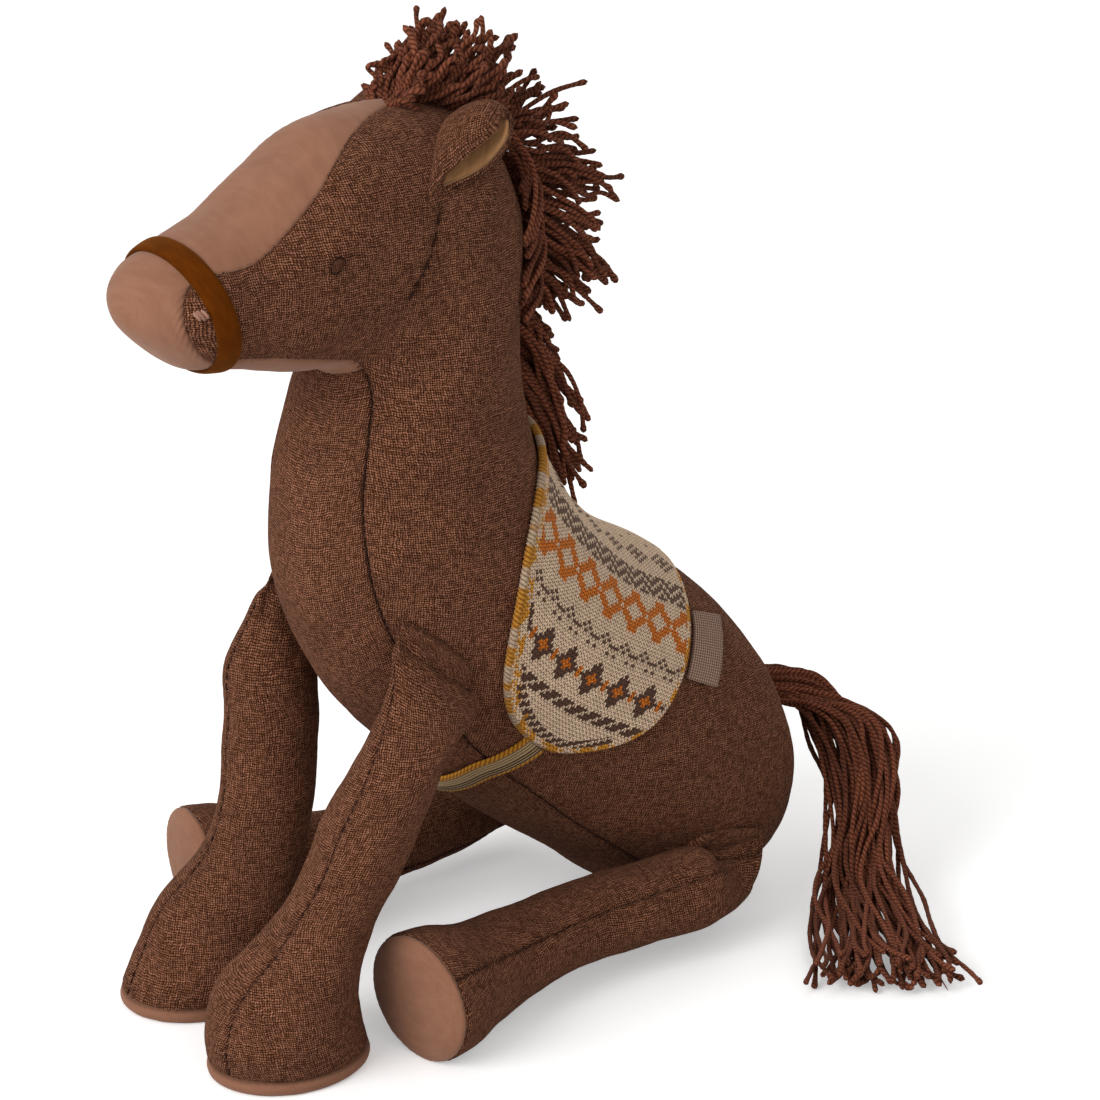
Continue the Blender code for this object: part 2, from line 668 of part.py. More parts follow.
def make_leg(name, form, pivot):
    """Cloth, filling and sole of a leg, carried by an empty at its tab; returns the cloth and the sole."""
    hinge = add_hinge(name + "_hinge", pivot)
    count, steps, filled_from = 14, 12, 5
    loops = []
    for lift, order in ((0, range(steps + 1)), (-LINEN_THICKNESS, range(steps, -1, -1))):
        for step in order:
            ring = form.last * step / steps
            loops.append([form.lifted(0, 0, lift)] if step == 0 else form_loop(form, ring, lift, count))
    cloth = add_loft(name + "_cloth", loops, LINEN, hinge)
    inside = -(LINEN_THICKNESS + FILLING_GAP)
    rows = [form.last * step / steps for step in range(filled_from, steps)]
    rows.append(form.last - form.ring_for(form.last, 0, SOLE_THICKNESS + SOLE_CROWN))
    add_loft(name + "_stuffing", [form_loop(form, row, inside, count) for row in rows], FILLING, hinge)
    high, wide = form.rings[-1][1], form.rings[-1][2]
    down = -high.cross(wide).normalized()
    middle = form.rings[-1][0] + down * 2 * CLEARANCE
    loops = []
    for share, level in ((1.0, 0), (0.97, SOLE_THICKNESS), (0.6, SOLE_THICKNESS + SOLE_CROWN)):
        loops.append([middle + down * level + (high * cos(2 * pi * step / count)
                                               + wide * sin(2 * pi * step / count)) * share
                      for step in range(count)])
    sole = add_loft(name + "_sole", loops, VELOUR, hinge)
    return cloth, sole


def make_legs(floor):
    tab_size = (TAB_THICKNESS, TAB_WIDTH)
    for side_name, side in SIDES:
        away = CLEARANCE + TAB_THICKNESS / 2
        place = SHOULDER_RING, side * pi * SHOULDER_TURN_SHARE
        pivot = BODY.lifted(*place, away)
        base = 2 * CLEARANCE + SOLE_THICKNESS + SOLE_CROWN - SEAT_FLAT_DEPTH
        length = (pivot.z - base) / FRONT_LEG_RING_SHARES[-1][1]
        sizes = {"tab": tab_size, "mid": (FRONT_LEG_WIDTH, TAB_WIDTH), "leg": (FRONT_LEG_WIDTH, FRONT_LEG_WIDTH),
                 "hoof": (FRONT_HOOF_WIDTH, FRONT_HOOF_LENGTH)}
        form = leg_form(FRONT_LEG_RING_SHARES, length, (FRONT_LEG_REACHES[side_name], side * FRONT_LEG_CLOSING),
                        Vector((0, FRONT_LEG_BOWS[side_name], 0)), sizes,
                        tab_axes(*place, side, TAB_SLANT), Matrix.Identity(3), pivot)
        make_cut(make_leg("front_leg_" + side_name, form, pivot)[1], floor)
        place = HIP_RING, side * pi * HIP_TURN_SHARE
        pivot = BODY.lifted(*place, away)
        slope = asin((pivot.z - HIND_HOOF_WIDTH / 2 + SEAT_FLAT_DEPTH) / HIND_LEG_LENGTH)
        turn = (Matrix.Rotation(side * HIND_LEG_SPLAYS[side_name], 3, "Z")
                @ Matrix.Rotation(slope - pi / 2, 3, "X"))
        sizes = {"tab": tab_size, "mid": (HIND_LEG_WIDTH, TAB_WIDTH), "leg": (HIND_LEG_WIDTH, HIND_LEG_WIDTH),
                 "hoof": (HIND_HOOF_WIDTH, HIND_HOOF_WIDTH)}
        form = leg_form(HIND_LEG_RING_SHARES, HIND_LEG_LENGTH, (HIND_LEG_SAG, side * HIND_LEG_OFFSET),
                        Vector((-side * HIND_LEG_BOW, 0, 0)), sizes,
                        tab_axes(*place, side, 0), turn, pivot)
        for piece in make_leg("hind_leg_" + side_name, form, pivot):
            make_cut(piece, floor)


EAR_TOP_PLACE = (15.75, 0.15)
EAR_LOW_PLACE = (15.95, 0.44)
EAR_AIM = Vector((0.16, 0.88, 0.44))
EAR_OPEN_TURNS = (radians(-165), radians(110))
EAR_ROUNDING = 0.6
EAR_TIP_SHARE = 0.08
EAR_THIN_SHARE = 0.30
EAR_CUP_SHARE = 2.2


def make_ear(side_name, side):
    """A cupped ear, open to the side and below: a linen outer sheet and a velvet lining."""
    top = BODY.point(EAR_TOP_PLACE[0], side * pi * EAR_TOP_PLACE[1])
    low = BODY.point(EAR_LOW_PLACE[0], side * pi * EAR_LOW_PLACE[1])
    middle = [(first + second) / 2 for first, second in zip(EAR_TOP_PLACE, EAR_LOW_PLACE)]
    normal = BODY.normal(middle[0], side * pi * middle[1])
    base = BODY.lifted(middle[0], side * pi * middle[1], 2 * CLEARANCE)
    aim = Vector((side * EAR_AIM.x, EAR_AIM.y, EAR_AIM.z)).normalized()
    across = (top - low).normalized()
    across = (across - normal * across.dot(normal)).normalized()
    facing = across.cross(normal) * side
    hinge = add_hinge("ear_" + side_name + "_hinge", base)

    def place(along, turn, lift):
        width = EAR_BASE / 2 * ((1 - along ** 2) ** EAR_ROUNDING + EAR_TIP_SHARE * along) + lift
        depth = EAR_DEPTH / 2 * (EAR_THIN_SHARE + EAR_CUP_SHARE * along * (1 - along)) + lift
        return base + aim * (EAR_LENGTH * along) + across * (width * cos(turn)) + facing * (depth * sin(turn))

    rows, turns = steps_between(0, 1, 8), steps_between(*EAR_OPEN_TURNS, 12)
    for kind, low_lift, high_lift, material, span in (
            ("_outer", 0, EAR_CLOTH, LINEN, slice(None)),
            ("_lining", -CLEARANCE - EAR_LINING, -CLEARANCE, KHAKI, slice(1, -1))):
        grids = [[[place(row, turn, lift) for turn in turns[span]] for row in rows[span]]
                 for lift in (high_lift, low_lift)]
        add_sheet("ear_" + side_name + kind, grids[0], grids[1], material, hinge)


# Mane stations along the crest line: (ring, height share, width share, lean in degrees)
FORELOCK_STATION_SHARES = (
    (16.28, 0.00, 0.00, 30),
    (16.22, 0.45, 0.50, 29),
    (16.05, 0.88, 0.84, 27),
    (15.75, 1.04, 1.00, 25),
    (15.40, 1.02, 0.94, 22),
    (15.16, 0.60, 0.55, 20),
    (15.06, 0.00, 0.00, 20),
)
CREST_STATION_SHARES = (
    (14.98, 0.00, 0.00, 6),
    (14.88, 0.55, 0.60, 8),
    (14.60, 0.90, 0.95, 14),
    (14.20, 1.00, 1.00, 26),
    (13.70, 1.00, 0.95, 30),
    (13.20, 0.98, 0.90, 26),
    (12.75, 0.86, 0.80, 30),
    (12.45, 0.50, 0.50, 30),
    (12.38, 0.00, 0.00, 30),
)
NECK_MANE_STATION_SHARES = (
    (12.32, 0.00, 0.00, 40),
    (12.22, 0.50, 0.35, 42),
    (11.90, 0.78, 0.50, 44),
    (11.30, 1.00, 0.60, 48),
    (10.70, 1.12, 0.65, 52),
    (10.10, 1.05, 0.60, 56),
    (9.85, 0.70, 0.40, 58),
    (9.74, 0.00, 0.00, 58),
)


def make_mane(name, stations, height):
    """A swelling body of yarn that stands on the crest line."""
    count = 12
    loops = []
    for ring, height_share, width_share, lean in stations:
        root = BODY.lifted(ring, 0, CLEARANCE)
        rise = Matrix.Rotation(radians(-lean), 3, "X") @ BODY.normal(ring, 0)
        if height_share == 0:
            loops.append([root + rise * (height * stations[1][1] / 2)])
            continue
        tall, wide = height * height_share, MANE_WIDTH / 2 * width_share
        loops.append([root + rise * (tall / 2 * (1 - cos(2 * pi * step / count)))
                      + ACROSS * (wide * sin(2 * pi * step / count)) for step in range(count)])
    add_loft(name, loops, YARN)


# Tail stations: (sideways, back, height, half width, half thickness, heading in degrees); the first three
# are shares of the tail's sweep, its reach behind the rump and the height of its root, the next two of
# its width
TAIL_STATION_SHARES = (
    (0.000, 0.00, 1.000, 0.50, 0.50, 0),
    (0.010, 0.30, 1.010, 0.50, 0.50, 0),
    (0.090, 0.80, 0.970, 0.24, 0.27, 20),
    (0.260, 0.98, 0.840, 0.36, 0.24, 45),
    (0.385, 0.72, 0.640, 0.34, 0.22, 50),
    (0.465, 0.32, 0.450, 0.32, 0.20, 50),
    (0.530, -0.10, 0.270, 0.36, 0.18, 50),
    (0.640, -0.60, 0.170, 0.46, 0.15, 50),
    (0.800, -1.20, 0.125, 0.54, 0.13, 50),
    (0.930, -1.72, 0.105, 0.50, 0.11, 50),
    (1.000, -2.02, 0.075, 0.00, 0.00, 50),
)


def make_tail():
    pivot = BODY.lifted(0, 0, -LINEN_THICKNESS / 2)
    hinge = add_hinge("tail_hinge", pivot)
    places = []
    for index, (aside, back, height, half_width, half_thickness, heading) in enumerate(TAIL_STATION_SHARES):
        size = TAIL_ROOT_WIDTH if index < 2 else TAIL_WIDTH
        thickness = size * half_thickness
        level = max(pivot.z * height, thickness + CLEARANCE)
        side = Vector((cos(radians(heading)), sin(radians(heading)), 0))
        places.append((Vector((aside * TAIL_SWEEP, pivot.y + back * TAIL_BACK, level)),
                       side, size * half_width, thickness))
    rings = []
    for index, (centre, side, width, thickness) in enumerate(places):
        before = places[max(index - 1, 0)][0]
        after = places[min(index + 1, len(places) - 1)][0]
        rings.append((centre, side.cross(after - before).normalized() * thickness, side * width))
    first_forward = (places[1][0] - places[0][0]).normalized()
    start = (places[0][0] - first_forward * LINEN_THICKNESS, Vector((0, 0, 0)), Vector((0, 0, 0)))
    form = Form([start] + rings)
    count, steps = 12, 22
    loops = [[form.point(0, 0)]]
    loops += [form_loop(form, form.last * step / steps, 0, count) for step in range(1, steps)]
    loops.append([form.point(form.last, 0)])
    add_loft("tail_yarn", loops, YARN, hinge)


floor_cutter = make_body()
make_face()
make_blanket()
make_girth()
make_label()
make_legs(floor_cutter)
for ear_side_name, ear_side in SIDES:
    make_ear(ear_side_name, ear_side)
make_mane("mane_forelock", FORELOCK_STATION_SHARES, FORELOCK_HEIGHT)
make_mane("mane_crest", CREST_STATION_SHARES, CREST_HEIGHT)
make_mane("mane_neck", NECK_MANE_STATION_SHARES, NECK_MANE_HEIGHT)
make_tail()
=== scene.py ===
"""Looks of the seated plush horse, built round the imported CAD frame.

Metres, +Z up, facing -Y, its left side is +X.
"""
from math import cos, pi, radians, sin, sqrt

import bmesh
import bpy
import numpy as np
from mathutils import Matrix, Vector, noise


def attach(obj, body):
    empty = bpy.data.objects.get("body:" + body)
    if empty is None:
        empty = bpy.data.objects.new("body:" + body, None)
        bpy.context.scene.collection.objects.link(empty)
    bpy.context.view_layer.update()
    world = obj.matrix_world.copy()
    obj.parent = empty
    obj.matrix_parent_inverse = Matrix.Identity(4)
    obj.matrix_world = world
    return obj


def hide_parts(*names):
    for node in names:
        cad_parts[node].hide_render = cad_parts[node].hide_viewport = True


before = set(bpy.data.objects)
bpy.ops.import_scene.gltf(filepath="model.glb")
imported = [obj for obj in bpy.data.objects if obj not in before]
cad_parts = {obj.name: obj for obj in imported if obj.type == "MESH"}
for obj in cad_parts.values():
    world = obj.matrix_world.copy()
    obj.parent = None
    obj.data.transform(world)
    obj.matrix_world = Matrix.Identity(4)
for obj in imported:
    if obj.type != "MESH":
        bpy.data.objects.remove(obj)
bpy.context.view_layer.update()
MM = 0.001
TAU = 2 * pi
SIDES = (("left", 1), ("right", -1))

# ---- The body's form, as the CAD source has it ----
TRUNK_LENGTH, TRUNK_HEIGHT, TRUNK_WIDTH = 0.170, 0.140, 0.084
NECK_DEPTH, NECK_LENGTH, NECK_WIDTH = 0.074, 0.053, 0.060
HEAD_LENGTH, HEAD_DEPTH, HEAD_WIDTH = 0.126, 0.068, 0.058
TRUNK_ROWS = (
    (0.141, 0.386, 0.141, 0.386, 0.000), (0.126, 0.439, 0.144, 0.321, 0.107), (0.091, 0.504, 0.141, 0.200, 0.274),
    (0.040, 0.600, 0.097, 0.050, 0.411), (-0.031, 0.703, -0.018, -0.013, 0.482),
    (-0.126, 0.793, -0.176, 0.046, 0.500),
    (-0.239, 0.876, -0.329, 0.171, 0.494), (-0.324, 0.971, -0.488, 0.321, 0.482),
    (-0.368, 1.057, -0.635, 0.479, 0.464),
    (-0.394, 1.136, -0.753, 0.650, 0.440))
NECK_ROWS = (
    (-0.027, 0.226, -1.000, -0.774, 0.575), (-0.041, 0.453, -1.027, -0.302, 0.525),
    (-0.041, 0.698, -0.959, 0.113, 0.500),
    (-0.041, 1.000, -0.899, 0.358, 0.483))
HEAD_ROWS = (
    (-0.024, 0.265, -0.488, -0.404, 0.500), (-0.111, 0.500, -0.516, -0.368, 0.500),
    (-0.278, 0.618, -0.567, -0.360, 0.483),
    (-0.476, 0.600, -0.619, -0.345, 0.452), (-0.605, 0.480, -0.675, -0.318, 0.414),
    (-0.738, 0.330, -0.730, -0.290, 0.371),
    (-0.865, 0.235, -0.790, -0.266, 0.345), (-0.938, 0.175, -0.862, -0.240, 0.302),
    (-0.980, 0.085, -0.930, -0.148, 0.190),
    (-0.988, -0.025, -0.988, -0.025, 0.000))


class Form:
    """A swelling tube through rings of (centre, half height, half width); all its calls take arrays."""

    def __init__(self, rings, round_start=True, round_end=True):
        rows = [np.concatenate([np.array(part, float) for part in ring]) for ring in rings]
        turn_over = np.array([1, 1, 1, -1, -1, -1, -1, -1, -1])
        self.last = len(rows) - 1
        self.first = 1 if round_start else 0
        if round_start:
            rows.insert(0, rows[1] * turn_over)
        if round_end:
            rows.append(rows[-2] * turn_over)
        self.table = np.array([2 * rows[0] - rows[1]] + rows + [2 * rows[-1] - rows[-2]])

    def row(self, ring):
        place = np.asarray(ring, float) + self.first
        index = np.clip(place.astype(int), 0, len(self.table) - 4)
        return smooth_curve(self.table, index, (place - index)[..., None])

    def point(self, ring, turn):
        ring, turn = paired(ring, turn)
        row = self.row(ring)
        return row[..., 0:3] + row[..., 3:6] * np.cos(turn)[..., None] + row[..., 6:9] * np.sin(turn)[..., None]

    def slopes(self, ring, turn):
        step = 0.01
        low, high = np.maximum(ring - step, 0), np.minimum(ring + step, self.last)
        along = (self.point(high, turn) - self.point(low, turn)) / (high - low)[..., None]
        around = (self.point(ring, turn + step) - self.point(ring, turn - step)) / (2 * step)
        return along, around

    def normal(self, ring, turn):
        ring, turn = paired(ring, turn)
        along, around = self.slopes(np.clip(ring, 0.03, self.last - 0.03), turn)
        return unit(np.cross(along, around))

    def lifted(self, ring, turn, lift):
        return self.point(ring, turn) + self.normal(ring, turn) * np.asarray(lift, float)[..., None]


def unit(vectors):
    return vectors / np.maximum(np.linalg.norm(vectors, axis=-1, keepdims=True), 1e-12)


def path_length(path):
    """Distance along a path of points, at each point."""
    return np.concatenate([[0], np.cumsum(np.linalg.norm(np.diff(path, axis=0), axis=1))])


def smooth_curve(table, index, part):
    """A smooth curve through a table's rows, at a share of the way from one row to the next."""
    before, start, end, beyond = (table[index + step] for step in range(4))
    square, cube = part ** 2, part ** 3
    return (start * (2 * cube - 3 * square + 1) + (end - before) / 2 * (cube - 2 * square + part)
            + end * (3 * square - 2 * cube) + (beyond - start) / 2 * (cube - square))


def paired(ring, turn):
    return np.broadcast_arrays(np.asarray(ring, float), np.asarray(turn, float))


def body_rings():
    neck_start = np.array((0, TRUNK_ROWS[-1][0] * TRUNK_LENGTH, TRUNK_ROWS[-1][1] * TRUNK_HEIGHT))
    nape = neck_start + (0, NECK_ROWS[-1][0] * NECK_DEPTH, NECK_ROWS[-1][1] * NECK_LENGTH)
    rings = []
    for rows, start, length, height, width in (
            (TRUNK_ROWS, np.zeros(3), TRUNK_LENGTH, TRUNK_HEIGHT, TRUNK_WIDTH),
            (NECK_ROWS, neck_start, NECK_DEPTH, NECK_LENGTH, NECK_WIDTH),
            (HEAD_ROWS, nape, HEAD_LENGTH, HEAD_DEPTH, HEAD_WIDTH)):
        for top_y, top_z, low_y, low_z, half in rows:
            top = start + (0, top_y * length, top_z * height)
            low = start + (0, low_y * length, low_z * height)
            rings.append(((top + low) / 2, (top - low) / 2, (half * width, 0, 0)))
    return rings


BODY = Form(body_rings())
SKIN = 0.6 * MM
SEAT_LEVEL = 0.0002


def moving_mean(values, reach):
    width = 2 * reach + 1
    return np.convolve(np.pad(values, reach, "edge"), np.ones(width) / width, "valid")


def table_value(table, place):
    return np.interp(place, [row[0] for row in table], [row[1] for row in table])


# ---- Camera, floor and light ----
TARGET = Vector((0, -0.052, 0.115))
AZIMUTH, ELEVATION, DISTANCE = radians(50), radians(20), 1.1
back = Vector((sin(AZIMUTH) * cos(ELEVATION), -cos(AZIMUTH) * cos(ELEVATION), sin(ELEVATION)))
camera = bpy.data.objects.new("camera", bpy.data.cameras.new("camera"))
bpy.context.scene.collection.objects.link(camera)
camera.data.lens, camera.data.sensor_width = 126.0, 36.0
camera.data.clip_start, camera.data.clip_end = 0.02, 30
camera.location = TARGET + back * DISTANCE
camera.rotation_mode = "QUATERNION"
camera.rotation_quaternion = (-back).to_track_quat("-Z", "Y")
bpy.context.scene.camera = camera
bpy.context.scene.view_settings.view_transform = "Standard"


# ---- Materials ----
class Graph:
    """Shorthand for a procedural material's nodes."""

    def __init__(self, name, roughness=0.95, specular=0.05, sheen=0.0, sheen_roughness=0.5, sheen_tint=(1, 1, 1)):
        self.material = bpy.data.materials.new(name)
        self.material.use_nodes = True
        self.tree = self.material.node_tree
        self.shader = self.tree.nodes["Principled BSDF"]
        self.shader.inputs["Roughness"].default_value = roughness
        self.shader.inputs["Specular IOR Level"].default_value = specular
        self.shader.inputs["Sheen Weight"].default_value = sheen
        self.shader.inputs["Sheen Roughness"].default_value = sheen_roughness
        self.shader.inputs["Sheen Tint"].default_value = (*sheen_tint, 1)

    def add(self, kind, values=(), **settings):
        made = self.tree.nodes.new(kind)
        for key, value in settings.items():
            setattr(made, key, value)
        for index, value in enumerate(values):
            if value is None:
                continue
            if isinstance(value, bpy.types.NodeSocket):
                self.tree.links.new(value, made.inputs[index])
            else:
                made.inputs[index].default_value = value
        return made

    def maths(self, operation, *values, clamp=False):
        return self.add("ShaderNodeMath", values, operation=operation, use_clamp=clamp).outputs[0]

    def plus(self, *values):
        return self.maths("ADD", *values)

    def times(self, *values):
        return self.maths("MULTIPLY", *values)

    def times_plus(self, value, factor, added):
        return self.maths("MULTIPLY_ADD", value, factor, added)

    def sine(self, value):
        return self.maths("SINE", value)

    def absolute(self, value):
        return self.maths("ABSOLUTE", value)

    def spread(self, value, low, high, to_low=0.0, to_high=1.0):
        made = self.add("ShaderNodeMapRange", (value, low, high, to_low, to_high), interpolation_type="SMOOTHSTEP")
        return made.outputs[0]

    def attribute(self, name, output="Vector"):
        return self.add("ShaderNodeAttribute", attribute_name=name).outputs[output]

    def split(self, vector):
        return self.add("ShaderNodeSeparateXYZ", (vector,)).outputs

    def join(self, x, y, z=0.0):
        return self.add("ShaderNodeCombineXYZ", (x, y, z)).outputs[0]

    def scaled(self, vector, scale):
        return self.add("ShaderNodeVectorMath", (vector, (scale,) * 3), operation="MULTIPLY").outputs[0]

    def noise(self, vector, scale, detail=2.0, roughness=0.5):
        made = self.add("ShaderNodeTexNoise", (vector, None, scale, detail, roughness))
        return made.outputs["Fac"]

    def mix(self, factor, low, high, blend="MIX"):
        made = self.add("ShaderNodeMix", data_type="RGBA", blend_type=blend)
        for index, value in ((0, factor), (6, low), (7, high)):
            if isinstance(value, bpy.types.NodeSocket):
                self.tree.links.new(value, made.inputs[index])
            else:
                made.inputs[index].default_value = value if index == 0 else (*value, 1)
        return made.outputs[2]

    def tinted(self, colour, factor):
        """A colour made darker or lighter by a factor."""
        shade = self.add("ShaderNodeCombineColor", (factor, factor, factor)).outputs[0]
        return self.mix(1.0, colour, shade, "MULTIPLY")

    def finish(self, colour, height=None, distance=0.0002, strength=0.6):
        self.tree.links.new(colour, self.shader.inputs["Base Color"])
        if height is not None:
            bump = self.add("ShaderNodeBump")
            bump.inputs["Strength"].default_value = strength
            bump.inputs["Distance"].default_value = distance
            self.tree.links.new(height, bump.inputs["Height"])
            self.tree.links.new(bump.outputs[0], self.shader.inputs["Normal"])
        return self.material


def linen(name, hole_shade, thread, light, pitch=0.63 * MM):
    """An open plain weave of uneven threads; the attribute cloth holds the place on the flat cloth."""
    g = Graph(name, sheen=0.06, sheen_tint=(0.75, 0.45, 0.35))
    place = g.scaled(g.attribute("cloth"), 1 / pitch)
    wander = g.noise(place, 0.35, 2.0)
    drift = g.noise(place, 0.05, 1.0)
    x, y, _ = g.split(place)
    bend = g.plus(g.times(wander, 1.6), g.times(drift, 4.0))
    x = g.plus(x, bend)
    y = g.maths("SUBTRACT", y, bend)
    wave_x = g.sine(g.times(x, pi))
    wave_y = g.sine(g.times(y, pi))
    over = g.times_plus(g.times(wave_x, wave_y), 0.5, 0.5)
    warp = g.times(g.absolute(wave_x), over)
    weft = g.times(g.absolute(wave_y), g.maths("SUBTRACT", 1.0, over))
    height = g.plus(warp, weft)
    slub = g.plus(g.noise(g.join(g.times(x, 0.9), g.times(y, 0.22)), 1.0, 1.0),
                   g.noise(g.join(g.times(x, 0.22), g.times(y, 0.9)), 1.0, 1.0))
    height = g.times(height, g.spread(slub, 0.75, 1.25, 0.78, 1.12))
    fibre = g.noise(place, 1.7, 2.0, 0.75)
    level = g.plus(height, g.times_plus(fibre, 1.5, -0.75))
    # Colour by thread height: painted shade in the weave's holes, the threads' own brown, and a painted highlight on
    # the highest crests.
    colour = g.mix(g.spread(level, 0.22, 0.70), hole_shade, thread)
    colour = g.mix(g.spread(level, 0.62, 1.10), colour, light)
    mottle = g.noise(place, 0.05, 3.0)
    colour = g.tinted(colour, g.spread(mottle, 0.3, 0.7, 0.90, 1.08))
    # The attribute seam darkens the cloth: painted shade in the seam creases, with the darker thread and squeezed
    # cloth there.
    crease_shade = g.attribute("seam", "Fac")
    colour = g.tinted(colour, g.times_plus(crease_shade, -0.75, 1.0))
    return g.finish(colour, level, 0.30 * MM, 0.75)


def pile(name, base, deep, nap=0.3 * MM, sheen=0.35, tint=(1, 0.8, 0.7)):
    """Short pile: a fine grain, soft brushed patches and a soft sheen."""
    g = Graph(name, sheen=sheen, sheen_roughness=0.45, sheen_tint=tint)
    place = g.scaled(g.attribute("cloth"), 1 / nap)
    x, y, z = g.split(place)
    grain = g.noise(place, 1.1, 2.0, 0.6)
    brushed = g.noise(g.join(g.times(x, 0.12), g.times(y, 0.035), z), 1.0, 3.0, 0.6)
    patch = g.noise(place, 0.03, 2.0)
    level = g.plus(g.times(grain, 0.45),
                    g.plus(g.times(brushed, 0.35), g.times(patch, 0.35)))
    colour = g.mix(g.spread(level, 0.35, 0.80), deep, base)
    # The attribute seam darkens the pile: painted shade in seam creases, on the ribbon's rolled edges and inside the
    # ear lining.
    colour = g.tinted(colour, g.times_plus(g.attribute("seam", "Fac"), -0.45, 1.0))
    return g.finish(colour, grain, 0.12 * MM, 0.35)


def yarn(name, deep, base, light, plies=1.0, second=None):
    """Twisted yarn: the attribute fibre holds the cosine and sine round the strand and the turns along it."""
    g = Graph(name, sheen=0.12, sheen_tint=(0.9, 0.5, 0.4))
    c, s, turns = g.split(g.attribute("fibre"))
    angle = g.times_plus(turns, TAU, g.maths("ARCTAN2", s, c))
    place = g.scaled(g.attribute("place"), 1 / MM)
    slack = g.noise(place, 0.45, 2.0)
    angle = g.times_plus(slack, 2.5, angle)
    ridge = g.absolute(g.sine(g.times(angle, plies)))
    fuzz = g.noise(place, 3.0, 3.0, 0.75)
    level = g.plus(g.times(ridge, 0.8), g.times_plus(fuzz, 1.3, -0.5))
    vary = g.attribute("strand", "Fac")

    def dyed(first, other):
        return first if second is None else g.mix(vary, other, first)
    more = second or (deep, base, light)
    # Colour by the twist's height: painted shade in the grooves between plies and a painted highlight on their
    # crests.
    colour = g.mix(g.spread(level, 0.05, 0.70), dyed(deep, more[0]), dyed(base, more[1]))
    colour = g.mix(g.spread(level, 0.70, 1.25), colour, dyed(light, more[2]))
    if second is None:
        colour = g.tinted(colour, g.times_plus(vary, 0.65, 0.66))
    return g.finish(colour, level, 0.30 * MM, 0.8)


STITCH_SLANT = 0.95


def knitted(name):
    """Knit stitches: the attribute knit holds wales and courses, and dye each stitch's colour."""
    g = Graph(name, sheen=0.15, sheen_tint=(1, 0.9, 0.8))
    wales, courses, _ = g.split(g.attribute("knit"))
    across = g.absolute(g.times_plus(g.maths("FRACT", wales), 2.0, -1.0))
    course = g.times_plus(across, -STITCH_SLANT, courses)
    lobe = g.sine(g.times(g.maths("FRACT", course), pi))
    leg = g.sine(g.times(across, pi))
    hollow = g.times(g.maths("POWER", g.maths("SUBTRACT", 1.0, lobe, clamp=True), 1.5),
                     g.times_plus(leg, -0.55, 1.05))
    groove = g.times(g.maths("POWER", g.maths("SUBTRACT", 1.0, leg, clamp=True), 3.0), 0.30)
    height = g.maths("SUBTRACT", 1.0, g.plus(hollow, groove), clamp=True)
    fuzz = g.noise(g.scaled(g.attribute("place"), 1 / MM), 3.5, 3.0, 0.7)
    level = g.plus(height, g.times_plus(fuzz, 0.4, -0.2))
    colour = g.attribute("dye", "Color")
    # Colour by stitch relief: painted shade in the hollows between stitches and a painted highlight on the lobes,
    # over each stitch's dye.
    colour = g.tinted(colour, g.spread(level, 0.32, 0.95, 0.04, 1.22))
    return g.finish(colour, level, 0.3 * MM, 0.6)


def webbing(name):
    """Woven webbing: ochre edges and fine cream and dark stripes; the attribute cloth holds across and along."""
    g = Graph(name, sheen=0.1)
    across, along, _ = g.split(g.scaled(g.attribute("cloth"), 1 / MM))
    side = g.absolute(across)
    weave = g.times(g.sine(g.times(across, TAU / 0.55)),
                    g.sine(g.times(along, TAU / 0.8)))
    stripe = g.sine(g.times_plus(side, TAU / 0.95, 0.6))
    middle = g.mix(g.spread(stripe, -0.6, 0.2), (0.050, 0.028, 0.016), (0.43, 0.295, 0.150))
    slant = g.sine(g.times(g.plus(across, along), TAU / 1.5))
    edge = g.mix(g.spread(slant, -0.8, 0.6), (0.24, 0.085, 0.007), (0.56, 0.245, 0.022))
    colour = g.mix(g.spread(side, 2.75, 2.95), middle, edge)
    fuzz = g.noise(g.attribute("cloth"), 3500.0, 2.0)
    colour = g.tinted(colour, g.times_plus(fuzz, 0.5, 0.75))
    return g.finish(colour, g.plus(weave, fuzz), 0.12 * MM, 0.6)


def grosgrain(name, deep, base, light):
    """Ribbed label tape: fine ribs one way and paler threads the other."""
    g = Graph(name, sheen=0.1)
    across, along, _ = g.split(g.scaled(g.attribute("cloth"), 1 / MM))
    rib = g.sine(g.times(across, TAU / 0.62))
    thread = g.sine(g.times(along, TAU / 0.85))
    level = g.plus(g.times(rib, 0.5), g.times(thread, 0.35))
    colour = g.mix(g.spread(level, -0.7, 0.2), deep, base)
    colour = g.mix(g.spread(level, 0.35, 0.8), colour, light)
    fuzz = g.noise(g.attribute("cloth"), 3000.0, 2.0)
    colour = g.tinted(colour, g.times_plus(fuzz, 0.5, 0.75))
    return g.finish(colour, level, 0.12 * MM, 0.6)


# Linen colours: painted shade in the weave's holes, the thread's own brown, and a painted highlight on the crests.
LINEN = linen("brown_linen_cloth", (0.016, 0.0045, 0.002), (0.112, 0.0405, 0.0195), (0.42, 0.186, 0.108))
VELOUR = pile("rose_velour_pile", (0.315, 0.152, 0.094), (0.235, 0.105, 0.062), sheen=0.25)
RIBBON = pile("caramel_velvet_pile", (0.145, 0.034, 0.001), (0.066, 0.014, 0.0005), 0.25 * MM, 0.16, (1, 0.42, 0.08))
KHAKI = pile("khaki_velvet_pile", (0.46, 0.235, 0.105), (0.23, 0.110, 0.045), 0.3 * MM, 0.3, (1, 0.7, 0.4))
